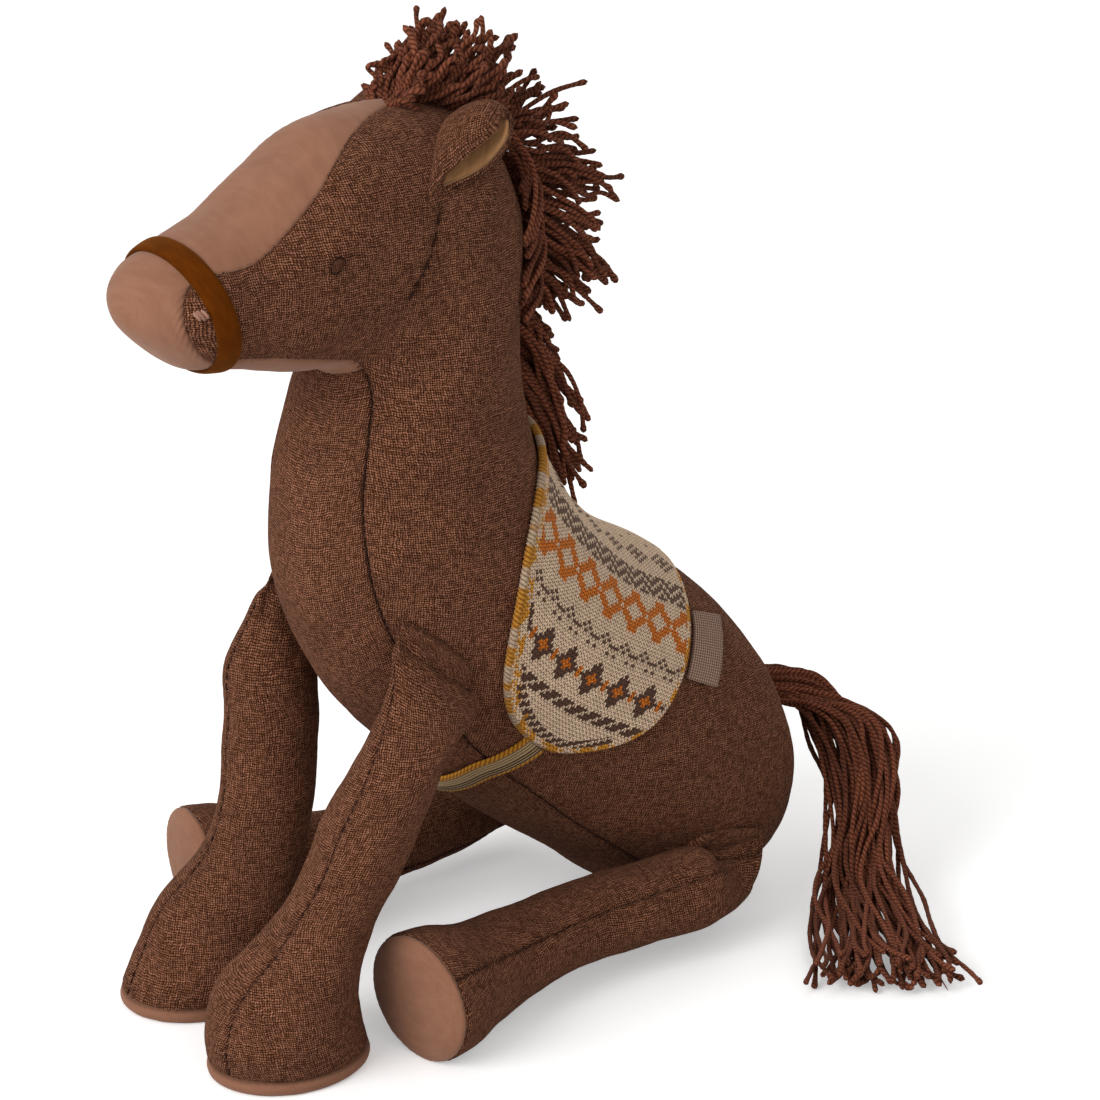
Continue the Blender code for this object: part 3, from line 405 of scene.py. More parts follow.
# Yarn colours, for this and the threads below: painted shade in the grooves, the yarn's own colour, and a painted
# highlight on the crests.
YARN = yarn("rust_yarn_twist", (0.024, 0.005, 0.0025), (0.150, 0.042, 0.020), (0.300, 0.110, 0.062))
SERGE = yarn("ochre_serging", (0.11, 0.042, 0.005), (0.44, 0.185, 0.022), (0.60, 0.30, 0.07),
             second=((0.13, 0.085, 0.055), (0.46, 0.33, 0.22), (0.62, 0.48, 0.36)))
PINK = yarn("pink_embroidery", (0.30, 0.12, 0.08), (0.62, 0.31, 0.22), (0.75, 0.45, 0.35), 3.0)
KNIT = knitted("cream_fair_isle_knit")
WEBBING = webbing("striped_webbing_weave")
GROSGRAIN = grosgrain("brown_label_tape", (0.105, 0.056, 0.040), (0.245, 0.148, 0.108), (0.46, 0.33, 0.25))
EYE = yarn("brown_embroidery", (0.012, 0.004, 0.003), (0.095, 0.029, 0.013), (0.25, 0.10, 0.05), 3.0)
LINEN_THREAD = yarn("linen_thread", (0.020, 0.0055, 0.0025), (0.100, 0.038, 0.020), (0.22, 0.10, 0.06))
DARK_THREAD = yarn("dark_seam_thread", (0.010, 0.003, 0.002), (0.030, 0.010, 0.007), (0.06, 0.025, 0.018), 3.0)


# ---- Mesh helpers ----
def roll(points, size, seed):
    """Smooth noise from -1 to 1 at each point."""
    shift = Vector((seed * 17.3, seed * 5.1, seed * 9.7))
    flat = points.reshape(-1, 3) / size
    return np.array([noise.noise(Vector(row) + shift) for row in flat]).reshape(points.shape[:-1])


def add_piece(name, points, faces, material, body, slot, **attributes):
    mesh = bpy.data.meshes.new(name)
    mesh.from_pydata(np.asarray(points).reshape(-1, 3).tolist(), [], faces)
    mesh.validate()
    for key, values in attributes.items():
        values = np.asarray(values, np.float32)
        kind = {1: "FLOAT", 3: "FLOAT_VECTOR", 4: "FLOAT_COLOR"}[values.shape[-1] if values.ndim > 1 else 1]
        stored = mesh.attributes.new(key, kind, "POINT")
        field = {"FLOAT": "value", "FLOAT_VECTOR": "vector", "FLOAT_COLOR": "color"}[kind]
        stored.data.foreach_set(field, values.ravel())
    mesh.shade_smooth()
    mesh.materials.append(material)
    made = bpy.data.objects.new(name, mesh)
    bpy.context.scene.collection.objects.link(made)
    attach(made, body)
    return made


def grid_faces(rows, columns, start=0, wrap=False, flip=False):
    index = np.arange(rows * columns).reshape(rows, columns) + start
    if wrap:
        index = np.concatenate([index, index[:, :1]], axis=1)
    quads = np.stack([index[:-1, :-1], index[1:, :-1], index[1:, 1:], index[:-1, 1:]], axis=-1).reshape(-1, 4)
    return (quads[:, ::-1] if flip else quads).tolist()


def column_length(points):
    """Distance down each column of a grid of points."""
    return np.concatenate([np.zeros((1, points.shape[1])),
                           np.cumsum(np.linalg.norm(np.diff(points, axis=0), axis=-1), axis=0)])


def arcs(points):
    """Distances along the rows and along the columns of a grid of points."""
    down = column_length(points)
    over = np.concatenate([np.zeros((points.shape[0], 1)),
                           np.cumsum(np.linalg.norm(np.diff(points, axis=1), axis=-1), axis=1)], axis=1)
    return down, over


def line_distance(points, line):
    """Distance from each point to a line of points, and how far along it the nearest place is."""
    best = np.full(points.shape[:-1], 1.0)
    along = np.zeros(points.shape[:-1])
    done = 0.0
    for start, end in zip(line[:-1], line[1:]):
        step = end - start
        length = np.linalg.norm(step)
        share = np.clip(((points - start) @ step) / length ** 2, 0, 1)
        away = np.linalg.norm(points - start - share[..., None] * step, axis=-1)
        nearer = away < best
        best = np.where(nearer, away, best)
        along = np.where(nearer, done + share * length, along)
        done += length
    return best, along


STITCH, PUCKER, CREASE_WIDTH = 2.7 * MM, 0.2 * MM, 0.50 * MM


def seam_lift(away, along, dive, soft, phase=0.0):
    """How far cloth sinks near a seam: a tight crease, a soft fall to it, and puckers at each stitch."""
    wave = np.sin(TAU * along / STITCH + phase + 1.3 * np.sin(along / (6.1 * MM)))
    return (-dive * np.exp(-(away / (0.55 * MM)) ** 1.2) - soft * np.exp(-away / (3.2 * MM))
            + PUCKER * wave * np.exp(-away / (1.9 * MM)))


def seam_shade(away, along):
    """The attribute seam: painted shade in the crease, darker at each stitch hole, with the darker thread and
    squeezed cloth there.
    """
    wave = 0.5 + 0.5 * np.cos(TAU * along / STITCH)
    crease_shade = np.exp(-(away / CREASE_WIDTH) ** 2) * (0.55 + 0.45 * wave)
    return np.clip(crease_shade + 0.25 * np.exp(-away / (1.6 * MM)), 0, 1)


def crowd(count):
    """Shares from 0 to 1 that crowd towards both ends."""
    share = np.linspace(0, 1, count)
    return share - 0.75 * np.sin(TAU * share) / TAU


def skin(name, form, ring, turn, material, body, slot, seams=(), lines=(), flip=False, rumple=1.0, seed=1,
         swell=None, cloth=None, floor=None):
    """Cloth over a form: seams names the edges that are sewn, lines are further seams as places on the form."""
    base = form.point(ring, turn)
    if swell is not None:
        base = base + swell(ring, turn)
    outward = form.normal(ring, turn)
    down, over = arcs(base)
    edges = {"low": (over, down), "high": (over[:, -1:] - over, down), "start": (down, over),
             "end": (down[-1:] - down, over)}
    lift = np.full(ring.shape, SKIN)
    # mark, kept as the attribute seam, is painted shade along the seams, partly the darker thread there.
    mark = np.zeros(ring.shape)
    for edge, dive, dark in seams:
        away, along = edges[edge]
        lift += seam_lift(away, along, dive, 0.37 * dive, seed)
        mark = np.maximum(mark, dark * seam_shade(away, along))
    for line, dive in lines:
        track = form.point(np.array([place[0] for place in line]), np.array([place[1] for place in line]))
        away, along = line_distance(base, track)
        lift += seam_lift(away, along, dive, 0.5 * dive)
        mark = np.maximum(mark, seam_shade(away, along))
    lift += rumple * (0.35 * MM * roll(base, 17 * MM, seed) + 0.16 * MM * roll(base, 6.5 * MM, seed + 1)
                      + 0.05 * MM * roll(base, 2.4 * MM, seed + 2))
    points = base + outward * lift[..., None]
    if floor is not None:
        points[..., 2] = np.maximum(points[..., 2], floor)
    if cloth is None:
        middle = ring.shape[1] // 2
        side_way = over - over[:, middle:middle + 1]
        cloth = np.stack([np.broadcast_to(down.mean(axis=1, keepdims=True), over.shape), side_way,
                          np.zeros(over.shape)], axis=-1)
    return add_piece(name, points, grid_faces(*ring.shape, flip=flip), material, body, slot,
                     cloth=cloth.reshape(-1, 3), seam=mark.ravel())


# ---- Stuffed cloth ----
class Stuffed(Form):
    """A form with its cloth blown up between its seams; shift holds how far each place of a coarse grid moved."""

    def __init__(self, form, rings, shift):
        self.table, self.first, self.last = form.table, form.first, form.last
        self.rings, self.shift = rings, np.concatenate([shift, shift[:, :1]], axis=1)

    def point(self, ring, turn):
        ring, turn = paired(ring, turn)
        row = np.interp(ring, self.rings, np.arange(len(self.rings)))
        column = (turn / TAU % 1.0) * (self.shift.shape[1] - 1)
        low_row = np.minimum(row.astype(int), len(self.rings) - 2)
        low_column = np.minimum(column.astype(int), self.shift.shape[1] - 2)
        down, over = (row - low_row)[..., None], (column - low_column)[..., None]
        near = self.shift[low_row, low_column] * (1 - over) + self.shift[low_row, low_column + 1] * over
        far = self.shift[low_row + 1, low_column] * (1 - over) + self.shift[low_row + 1, low_column + 1] * over
        return super().point(ring, turn) + near * (1 - down) + far * down


CLOTH_STEPS = 20
BODY_SWELL, LEG_SWELL = 1.7 * MM, 1.3 * MM
BODY_COLUMNS, LEG_COLUMNS = 44, 32


def stuff(form, rings, columns, held, cap, fade):
    """Blow a form's cloth up with Blender's cloth, held at its seams, and give the form that it then has."""
    ring, turn = np.meshgrid(rings, np.arange(columns) * TAU / columns, indexing="ij")
    points = form.point(ring, turn)
    outward = form.normal(ring, turn)
    mesh = bpy.data.meshes.new("stuffing_cloth")
    faces = grid_faces(*ring.shape, wrap=True)
    faces.append(list(range(columns)))
    faces.append(list(range(ring.size - columns, ring.size))[::-1])
    start = points - outward * 0.3 * cap
    mesh.from_pydata(start.reshape(-1, 3).tolist(), [], faces)
    work = bmesh.new()
    work.from_mesh(mesh)
    bmesh.ops.recalc_face_normals(work, faces=work.faces)
    work.to_mesh(mesh)
    work.free()
    pad = bpy.data.objects.new("stuffing_cloth", mesh)
    bpy.context.scene.collection.objects.link(pad)
    group = pad.vertex_groups.new(name="seams")
    fixed = held(ring, turn)
    fixed[[0, -1]] = True
    group.add(np.flatnonzero(fixed.ravel()).tolist(), 1.0, "REPLACE")
    cloth = pad.modifiers.new("cloth", "CLOTH")
    cloth.settings.quality = 6
    cloth.settings.mass = 0.002
    cloth.settings.shrink_min = -0.03
    cloth.settings.tension_stiffness = cloth.settings.compression_stiffness = 5
    cloth.settings.bending_stiffness = 0.02
    cloth.settings.use_pressure = True
    cloth.settings.uniform_pressure_force = 4
    cloth.settings.vertex_group_mass = "seams"
    cloth.settings.effector_weights.gravity = 0
    cloth.collision_settings.use_collision = False
    scene = bpy.context.scene
    for step in range(1, CLOTH_STEPS + 1):
        scene.frame_set(step)
    evaluated = pad.evaluated_get(bpy.context.evaluated_depsgraph_get())
    moved = np.empty(ring.size * 3)
    evaluated.data.vertices.foreach_get("co", moved)
    shift = moved.reshape(points.shape) - points
    scene.frame_set(1)
    bpy.data.objects.remove(pad)
    far = np.linalg.norm(shift, axis=-1, keepdims=True)
    shift = shift * np.minimum(1, cap / np.maximum(far, 1e-9))
    for _ in range(2):
        around = (np.roll(shift, 1, axis=1) + 2 * shift + np.roll(shift, -1, axis=1)) / 4
        shift[1:-1] = (around[:-2] + 2 * around[1:-1] + around[2:]) / 4
    return Stuffed(form, rings, shift * fade(ring, turn)[..., None])


# ---- The body's panels ----
BLAZE_START, NOSEBAND_RING, CHEEK_END, THROAT = 16.0, 20.2, 21.3, 14.0
BLAZE_TABLE = ((16.0, 0.02), (16.4, 0.06), (17.0, 0.165), (17.5, 0.23), (18.0, 0.265), (19.0, 0.32), (19.5, 0.31),
               (20.0, 0.26))
BELLY_TABLE = ((0.0, 0.20), (2.0, 0.19), (5.0, 0.20), (9.0, 0.24), (10.8, 0.23), (12.9, 0.20), (14.0, 0.15))
CHIN_TABLE = ((14.0, 0.15), (15.3, 0.155), (17.3, 0.19), (20.0, 0.24))
CHEEK_STEP = 0.12
TAIL_RING = 0.55
EYE_RING, EYE_TURN = 17.5, 0.478 * pi
NOSTRIL_RING, NOSTRIL_TURN = 20.75, 0.42 * pi
DART_SEAM = ((15.74, 0.39), (15.68, 0.45), (15.60, 0.50), (15.53, 0.55), (15.44, 0.61))
HIP_SEAM = ((0.75, 0.66), (2.0, 0.645), (3.2, 0.63))


def smooth_value(table, place):
    """A table's value, rounded at its corners so that a seam runs smoothly."""
    return sum(table_value(table, place + shift) for shift in (-0.3, -0.15, 0, 0.15, 0.3)) / 5


def top_turn(ring):
    blaze = pi * smooth_value(BLAZE_TABLE, ring)
    fade = np.clip((ring - (BLAZE_START - CHEEK_STEP)) / CHEEK_STEP, 0, 1)
    return np.where(ring < BLAZE_START - CHEEK_STEP, 0.0, blaze * fade)


def low_turn(ring):
    return np.where(ring < THROAT, pi * (1 - smooth_value(BELLY_TABLE, ring)),
                    pi * (1 - smooth_value(CHIN_TABLE, ring)))


def even_rings(first, last, turn, step):
    """Rings at even distances along the body, measured at one turn."""
    fine = np.linspace(first, last, 800)
    path = BODY.point(fine, np.full(fine.shape, turn))
    length = path_length(path)
    count = int(length[-1] / step) + 1
    return np.interp(np.linspace(0, length[-1], count), length, fine)


def flat_places(points):
    """Where each point of a side panel lay on the flat cloth: the side view, with what curves away laid out."""
    _, over = arcs(points)
    middle = points.shape[1] // 2
    away = over - over[:, middle:middle + 1]
    spine = points[:, middle:middle + 1, 1:]
    aim = unit(points[..., 1:] - spine + 1e-9)
    flat = spine + aim * np.abs(away)[..., None]
    return np.concatenate([flat, np.zeros(flat.shape[:-1] + (1,))], axis=-1)


def make_side(name, side):
    rings = even_rings(TAIL_RING, NOSEBAND_RING, pi / 2, 1.05 * MM)
    shares = crowd(118)
    ring, share = np.meshgrid(rings, shares, indexing="ij")
    start, end = top_turn(ring), low_turn(ring)
    turn = side * (start + (end - start) * share)
    dart, hip = ([(place, side * share * pi) for place, share in line] for line in (DART_SEAM, HIP_SEAM))
    return skin(name, BODY, ring, turn, LINEN, "body", "brown_linen",
                (("low", 0.55 * MM, 0.3), ("high", 0.8 * MM, 0.8)),
                ((dart, 0.6 * MM), (hip, 0.5 * MM)), flip=side < 0, seed=3 + side,
                cloth=flat_places(BODY.point(ring, turn)), floor=SEAT_LEVEL)


def make_cheek(name, side):
    """The linen in front of the noseband, up to the muzzle's seam."""
    shares = crowd(60)
    steps = np.linspace(0, 1, 26)
    step, share = np.meshgrid(steps, shares, indexing="ij")
    reach = (CHEEK_STEP + (1 - CHEEK_STEP) * np.sqrt(np.maximum(np.sin(pi * share), 0))) * (CHEEK_END - NOSEBAND_RING)
    ring = NOSEBAND_RING + reach * step
    start, end = top_turn(np.full(ring.shape, NOSEBAND_RING)), low_turn(np.full(ring.shape, NOSEBAND_RING))
    turn = side * (start + (end - start) * share)
    return skin(name, BODY, ring, turn, LINEN, "body", "brown_linen", (("end", 0.7 * MM, 0.35),),
                flip=side < 0, seed=9, rumple=0.4)


def make_strip(name, rings, columns, half_turn, centre, material, slot, seams, seed, floor=None):
    """A panel along the middle of the body."""
    ring, share = np.meshgrid(rings, crowd(columns) * 2 - 1, indexing="ij")
    turn = centre + half_turn(ring) * share
    return skin(name, BODY, ring, turn, material, "body", slot, seams, seed=seed, floor=floor)


def make_muzzle():
    shares = np.linspace(0, 1, 60)
    blaze, chin = pi * BLAZE_TABLE[-1][1], pi * CHIN_TABLE[-1][1]
    start = top_turn(np.array([NOSEBAND_RING]))[0]
    end = low_turn(np.array([NOSEBAND_RING]))[0]
    cheek = CHEEK_STEP + (1 - CHEEK_STEP) * np.sqrt(np.maximum(np.sin(pi * shares), 0))
    edge_ring = NOSEBAND_RING + (CHEEK_END - NOSEBAND_RING) * cheek
    edge_turn = start + (end - start) * shares
    top = np.linspace(-1, 1, 24)[1:-1]
    across_nose = np.full(top.shape, NOSEBAND_RING)
    rings = np.concatenate([across_nose, edge_ring, across_nose, edge_ring])
    turns = np.concatenate([top * blaze, edge_turn, pi + (-top) * chin * -1, TAU - edge_turn[::-1]])
    rings = np.append(rings, rings[0])
    turns = np.append(turns, turns[0] + TAU)
    steps = np.concatenate([[0], np.linspace(0, 1, 44)[1:] ** 1.15])
    ring = rings + (BODY.last - rings) * np.minimum(steps, 0.999)[:, None]
    turn = np.broadcast_to(turns, ring.shape).copy()
    return skin("muzzle_velour", BODY, ring, turn, VELOUR, "body", "rose_velour", (("start", 0.7 * MM, 0.3),),
                seed=12, rumple=0.4)


def build_body():
    for side_name, side in SIDES:
        piece = make_side(side_name + "_side_cloth", side)
        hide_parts(side_name + "_side_panel")
        cheek = make_cheek(side_name + "_cheek_cloth", side)
        cheek.parent = piece
        cheek.matrix_parent_inverse = Matrix.Identity(4)
    belly = make_strip("belly_cloth", even_rings(TAIL_RING, THROAT + 0.12, pi, 1.2 * MM), 64,
                       lambda ring: pi * smooth_value(BELLY_TABLE, ring), pi, LINEN, "brown_linen",
                       (("low", 0.8 * MM, 0.8), ("high", 0.8 * MM, 0.8), ("end", 1.0 * MM, 0.5)), 21,
                       floor=SEAT_LEVEL)
    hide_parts("belly_gusset", "torso_stuffing")
    blaze = make_strip("blaze_velour", even_rings(BLAZE_START, NOSEBAND_RING, 0, 0.9 * MM), 64,
                       top_turn, 0.0, VELOUR, "rose_velour",
                       (("low", 0.6 * MM, 0.2), ("high", 0.6 * MM, 0.2)), 31)
    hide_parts("blaze_panel", "head_stuffing")
    chin = make_strip("chin_velour", even_rings(THROAT, NOSEBAND_RING, pi, 0.9 * MM), 40,
                      lambda ring: pi * smooth_value(CHIN_TABLE, ring), pi, VELOUR, "rose_velour",
                      (("low", 0.6 * MM, 0.2), ("high", 0.6 * MM, 0.2), ("start", 0.4 * MM, 0.6)), 41)
    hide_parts("chin_gusset")
    muzzle = make_muzzle()
    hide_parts("muzzle_panel")


def near_seam(ring, turn):
    """Whether a place of the coarse grid lies on one of the body's seams."""
    folded = np.abs((turn + pi) % TAU - pi)
    width = 0.6 * TAU / BODY_COLUMNS
    top, low = top_turn(ring), low_turn(ring)
    on_top = (np.abs(folded - top) < width) & (ring > BLAZE_START - 0.3) & (ring < NOSEBAND_RING)
    on_low = (np.abs(folded - low) < width) & (ring < NOSEBAND_RING)
    spine = (folded < width) & (ring < BLAZE_START) & (ring > 9.6)
    return on_top | on_low | spine | (np.abs(ring - NOSEBAND_RING) < 0.16)


def body_swell(ring, turn):
    """How much of its swell each place of the body keeps: less at the ends, the head and beside the front legs."""
    ends = np.clip((ring - 0.2) / 0.8, 0, 1) * np.clip((22.4 - ring) / 0.8, 0, 1)
    aside = np.abs((turn + pi) % TAU - pi) / pi
    beside_leg = np.exp(-((ring - 9.9) / 1.7) ** 2 - ((aside - 0.82) / 0.15) ** 2)
    return ends * np.interp(ring, (14.5, 16.5), (1, 0.6)) * (1 - 0.85 * beside_leg)


PLAIN_BODY = BODY
BODY = stuff(BODY, np.concatenate([np.linspace(0.25, 13, 46)[:-1], np.linspace(13, 22.4, 44)]), BODY_COLUMNS,
             near_seam, BODY_SWELL, body_swell)
build_body()


# ---- Legs ----
CLEARANCE, SEAT_FLAT = 0.3 * MM, 0.5 * MM
TAB_THICKNESS, TAB_WIDTH, TAB_SLANT = 5.0 * MM, 28 * MM, radians(36)
SOLE_DEPTH, SOLE_CROWN = 1.8 * MM, 2.2 * MM
FRONT_WIDTH, FRONT_HOOF = 27 * MM, (39 * MM, 46 * MM)
FRONT_REACHES, FRONT_CLOSING, FRONT_BOWS = {"left": 0.046, "right": 0.040}, 0.0065, {"left": 0.0, "right": 0.015}
HIND_LENGTH, HIND_WIDTH, HIND_HOOF = 0.121, 26 * MM, 37 * MM
HIND_SAG, HIND_OFFSET, HIND_BOW = 0.005, 0.008, 0.0045
HIND_SPLAYS = {"left": radians(4), "right": radians(11.5)}
FRONT_ROWS = (
    ("tab", -0.040, 0.00, 0.00, 0.00, 0.00, 0.00), ("tab", -0.034, 0.00, 0.00, 0.00, 0.34, 0.30),
    ("tab", 0.000, 0.00, 0.00, 0.00, 0.50, 0.50), ("mid", 0.090, 0.10, -0.70, 0.25, 0.48, 0.30),
    ("leg", 0.200, 0.32, -0.95, 0.56, 0.49, 0.44), ("leg", 0.340, 0.47, -0.50, 0.78, 0.50, 0.49),
    ("leg", 0.500, 0.63, 0.00, 0.92, 0.50, 0.49), ("leg", 0.640, 0.83, 0.38, 1.00, 0.54, 0.52),
    ("hoof", 0.770, 1.02, 0.72, 0.72, 0.42, 0.46), ("hoof", 0.880, 1.06, 0.92, 0.38, 0.47, 0.49),
    ("hoof", 0.970, 1.02, 1.00, 0.00, 0.50, 0.50))
HIND_ROWS = (
    ("tab", -0.040, 0.00, 0.00, 0.00, 0.00, 0.00), ("tab", -0.034, 0.00, 0.00, 0.00, 0.34, 0.30),
    ("tab", 0.000, 0.00, 0.00, 0.00, 0.50, 0.50), ("mid", 0.035, -1.10, -0.60, 0.00, 0.42, 0.26),
    ("leg", 0.145, -1.00, -0.60, 0.00, 0.47, 0.43), ("leg", 0.300, -1.05, -0.30, 0.60, 0.48, 0.47),
    ("leg", 0.480, -1.00, 0.00, 1.00, 0.46, 0.46), ("leg", 0.640, -0.90, 0.00, 1.00, 0.49, 0.48),
    ("leg", 0.780, -0.60, 0.00, 0.70, 0.57, 0.56), ("hoof", 0.900, -0.20, 0.00, 0.25, 0.47, 0.47),
    ("hoof", 0.985, 0.00, 0.00, 0.00, 0.50, 0.50))
SHOULDER, HIP = (9.20, 0.70), (4.62, 0.67)


def body_point(ring, turn_share, side, lift):
    return Vector(PLAIN_BODY.lifted(np.array([ring]), np.array([side * pi * turn_share]), lift)[0])


def tab_axes(ring, turn_share, side, slant):
    outward = Vector(PLAIN_BODY.normal(np.array([ring]), np.array([side * pi * turn_share]))[0]) * side
    backward = Vector((0, cos(slant), -sin(slant)))
    backward = (backward - outward * backward.dot(outward)).normalized()
    return Matrix((outward, backward, outward.cross(backward))).transposed()


def leg_form(rows, length, reaches, bow, sizes, tab, turn, pivot):
    half_way = tab.to_quaternion().slerp(turn.to_quaternion(), 0.5).to_matrix()
    axes = {"tab": tab, "mid": half_way, "leg": turn, "hoof": turn}
    rings = []
    for kind, drop, forward, inward, bowed, half_depth, half_width in rows:
        width, depth = sizes[kind]
        centre = Vector((-inward * reaches[1], -forward * reaches[0], -drop * length)) + bow * bowed
        placing = tab if kind == "tab" else turn
        rings.append((pivot + placing @ centre, axes[kind] @ Vector((0, -half_depth * depth, 0)),
                      axes[kind] @ Vector((half_width * width, 0, 0))))
    return Form(rings, round_end=False)


def leg_sizes(width, hoof):
    """Width and depth of a leg's rings, by their kind."""
    return {"tab": (TAB_THICKNESS, TAB_WIDTH), "mid": (width, TAB_WIDTH), "leg": (width,) * 2, "hoof": hoof}


def leg_forms():
    """Name, form and the turn of its seam, for the four legs."""
    made = []
    for side_name, side in SIDES:
        away = CLEARANCE + TAB_THICKNESS / 2
        pivot = body_point(*SHOULDER, side, away)
        base = 2 * CLEARANCE + SOLE_DEPTH + SOLE_CROWN - SEAT_FLAT
        form = leg_form(FRONT_ROWS, (pivot.z - base) / FRONT_ROWS[-1][1],
                        (FRONT_REACHES[side_name], side * FRONT_CLOSING), Vector((0, FRONT_BOWS[side_name], 0)),
                        leg_sizes(FRONT_WIDTH, FRONT_HOOF), tab_axes(*SHOULDER, side, TAB_SLANT),
                        Matrix.Identity(3), pivot)
        made.append(("front_leg_" + side_name, form, 0.06 * pi * side))
        pivot = body_point(*HIP, side, away)
        slope = np.arcsin((pivot.z - HIND_HOOF / 2 + SEAT_FLAT) / HIND_LENGTH)
        turn = (Matrix.Rotation(side * HIND_SPLAYS[side_name], 3, "Z")
                @ Matrix.Rotation(slope - pi / 2, 3, "X"))
        form = leg_form(HIND_ROWS, HIND_LENGTH, (HIND_SAG, side * HIND_OFFSET), Vector((-side * HIND_BOW, 0, 0)),
                        leg_sizes(HIND_WIDTH, (HIND_HOOF,) * 2), tab_axes(*HIP, side, 0), turn, pivot)
        made.append(("hind_leg_" + side_name, form, 0.30 * pi * side))
    return made


def form_rings(form, first, last, step):
    """Rings at even distances along a form's centre line."""
    fine = np.linspace(first, last, 600)
    path = form.row(fine)[:, :3]
    length = path_length(path)
    return np.interp(np.linspace(0, length[-1], int(length[-1] / step) + 1), length, fine)


def make_leg(name, form, seam_turn, seed):
    rings = np.concatenate([np.linspace(0.02, 2.0, 22)[:-1], form_rings(form, 2.0, form.last, 0.95 * MM)])
    ring, turn = np.meshgrid(rings, seam_turn + np.linspace(0, TAU, 109), indexing="ij")
    base = form.point(ring, turn)
    tab = form.row(np.array([2.0]))[0]
    tab_up = unit(tab[:3] - form.row(np.array([3.0]))[0][:3])
    along = np.abs((base - tab[:3]) @ tab_up)
    pinch = np.exp(-along / (8 * MM)) * np.clip((rings[:, None] - 1.2) / 1.3, 0, 1)
    gathers = np.sin(7 * turn + 4.0 * roll(base, 11 * MM, seed)) * 0.75 * MM * pinch

    def fold(points_ring, points_turn):
        return form.normal(points_ring, points_turn) * gathers[..., None]
    back_seam = [(value, seam_turn + pi) for value in np.linspace(1.6, form.last, 60)]
    tab_line = [(2.25, value) for value in np.linspace(0, TAU, 40)]
    piece = skin(name + "_skin", form, ring, turn, LINEN, name, "brown_linen",
                 (("low", 0.40 * MM, 0.55), ("high", 0.40 * MM, 0.55), ("end", 1.1 * MM, 0.5)),
                 ((back_seam, 0.35 * MM), (tab_line, 0.8 * MM)), seed=seed, swell=fold, rumple=1.25,
                 floor=SEAT_LEVEL)
    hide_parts(name + "_cloth", name + "_stuffing")
    make_sole(name, form, seed)


def make_sole(name, form, seed):
    row = form.row(np.array([form.last]))[0]
    centre, high, wide = row[:3], row[3:6], row[6:9]
    down = -unit(np.cross(high, wide))
    if name.startswith("front"):
        profile = ((0.960, -0.9), (0.985, -0.1), (1.012, 0.7), (1.022, 1.7), (1.010, 2.8), (0.975, 3.7), (0.92, 4.2),
                   (0.80, 4.4), (0.0, 4.4))
    else:
        profile = ((0.960, -0.9), (0.985, -0.1), (0.990, 0.5), (0.975, 1.1), (0.93, 1.7), (0.80, 2.5), (0.55, 3.0),
                   (0.25, 3.3), (0.0, 3.4))
    fine = np.concatenate([np.linspace(0, 5, 22)[:-1], np.linspace(5, 8, 30)])
    shares = np.interp(fine, range(9), [row[0] for row in profile])
    levels = np.interp(fine, range(9), [row[1] for row in profile]) * MM
    shares = np.convolve(np.pad(shares, 1, "edge"), (0.25, 0.5, 0.25), "valid")
    levels = np.convolve(np.pad(levels, 1, "edge"), (0.25, 0.5, 0.25), "valid")
    turns = np.linspace(0, TAU, 121)
    shares[-1] = 0.0004
    share, turn = np.meshgrid(shares, turns, indexing="ij")
    flat = (high * np.cos(turn)[..., None] + wide * np.sin(turn)[..., None]) * share[..., None]
    points = centre + flat + down * levels[:, None, None]
    puff = 0.16 * MM * roll(points, 5 * MM, seed) + 0.18 * MM * roll(points, 14 * MM, seed + 3)
    arc = turns * np.linalg.norm(high)
    pucker = 0.16 * MM * np.sin(TAU * arc / STITCH) * np.exp(-np.maximum(levels, 0)[:, None] / (1.2 * MM))
    points = points + down * (puff + pucker)[..., None]
    points[..., 2] = np.maximum(points[..., 2], SEAT_LEVEL)
    # mark, kept as the attribute seam, is painted shade in the crease where the sole is sewn to the leg.
    mark = np.exp(-(np.maximum(levels + 0.2 * MM, 0)[:, None] / (0.55 * MM)) ** 2) * np.ones(share.shape)
    across = np.stack([np.cos(turn) * share * np.linalg.norm(high), np.sin(turn) * share * np.linalg.norm(wide),
                       np.broadcast_to(levels[:, None], share.shape)], axis=-1)
    piece = add_piece(name + "_sole_velour", points, grid_faces(*share.shape), VELOUR, name, "rose_velour",
                      cloth=across.reshape(-1, 3), seam=mark.ravel())
    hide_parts(name + "_sole")


LEG_FORMS = {}


def leg_seams(seam_turn):
    """Whether a place of a leg's coarse grid lies on its front or back seam."""
    return lambda ring, turn: np.abs((turn - seam_turn + pi / 2) % pi - pi / 2) < 0.6 * TAU / LEG_COLUMNS


def leg_swell(last):
    """How much of its swell each place of a leg keeps: none at the tab or at the sole's seam."""
    return lambda ring, turn: np.clip((ring - 2) / 2, 0, 1) * np.clip((last - ring) / 0.7, 0, 1)


for index, (leg_name, leg, seam) in enumerate(leg_forms()):
    stuffed = stuff(leg, np.concatenate([np.linspace(0.3, 2.2, 5)[:-1], form_rings(leg, 2.2, leg.last, 4 * MM)]),
                    LEG_COLUMNS, leg_seams(seam), LEG_SWELL, leg_swell(leg.last))
    make_leg(leg_name, stuffed, seam, 50 + 7 * index)
    LEG_FORMS[leg_name] = (stuffed, seam)


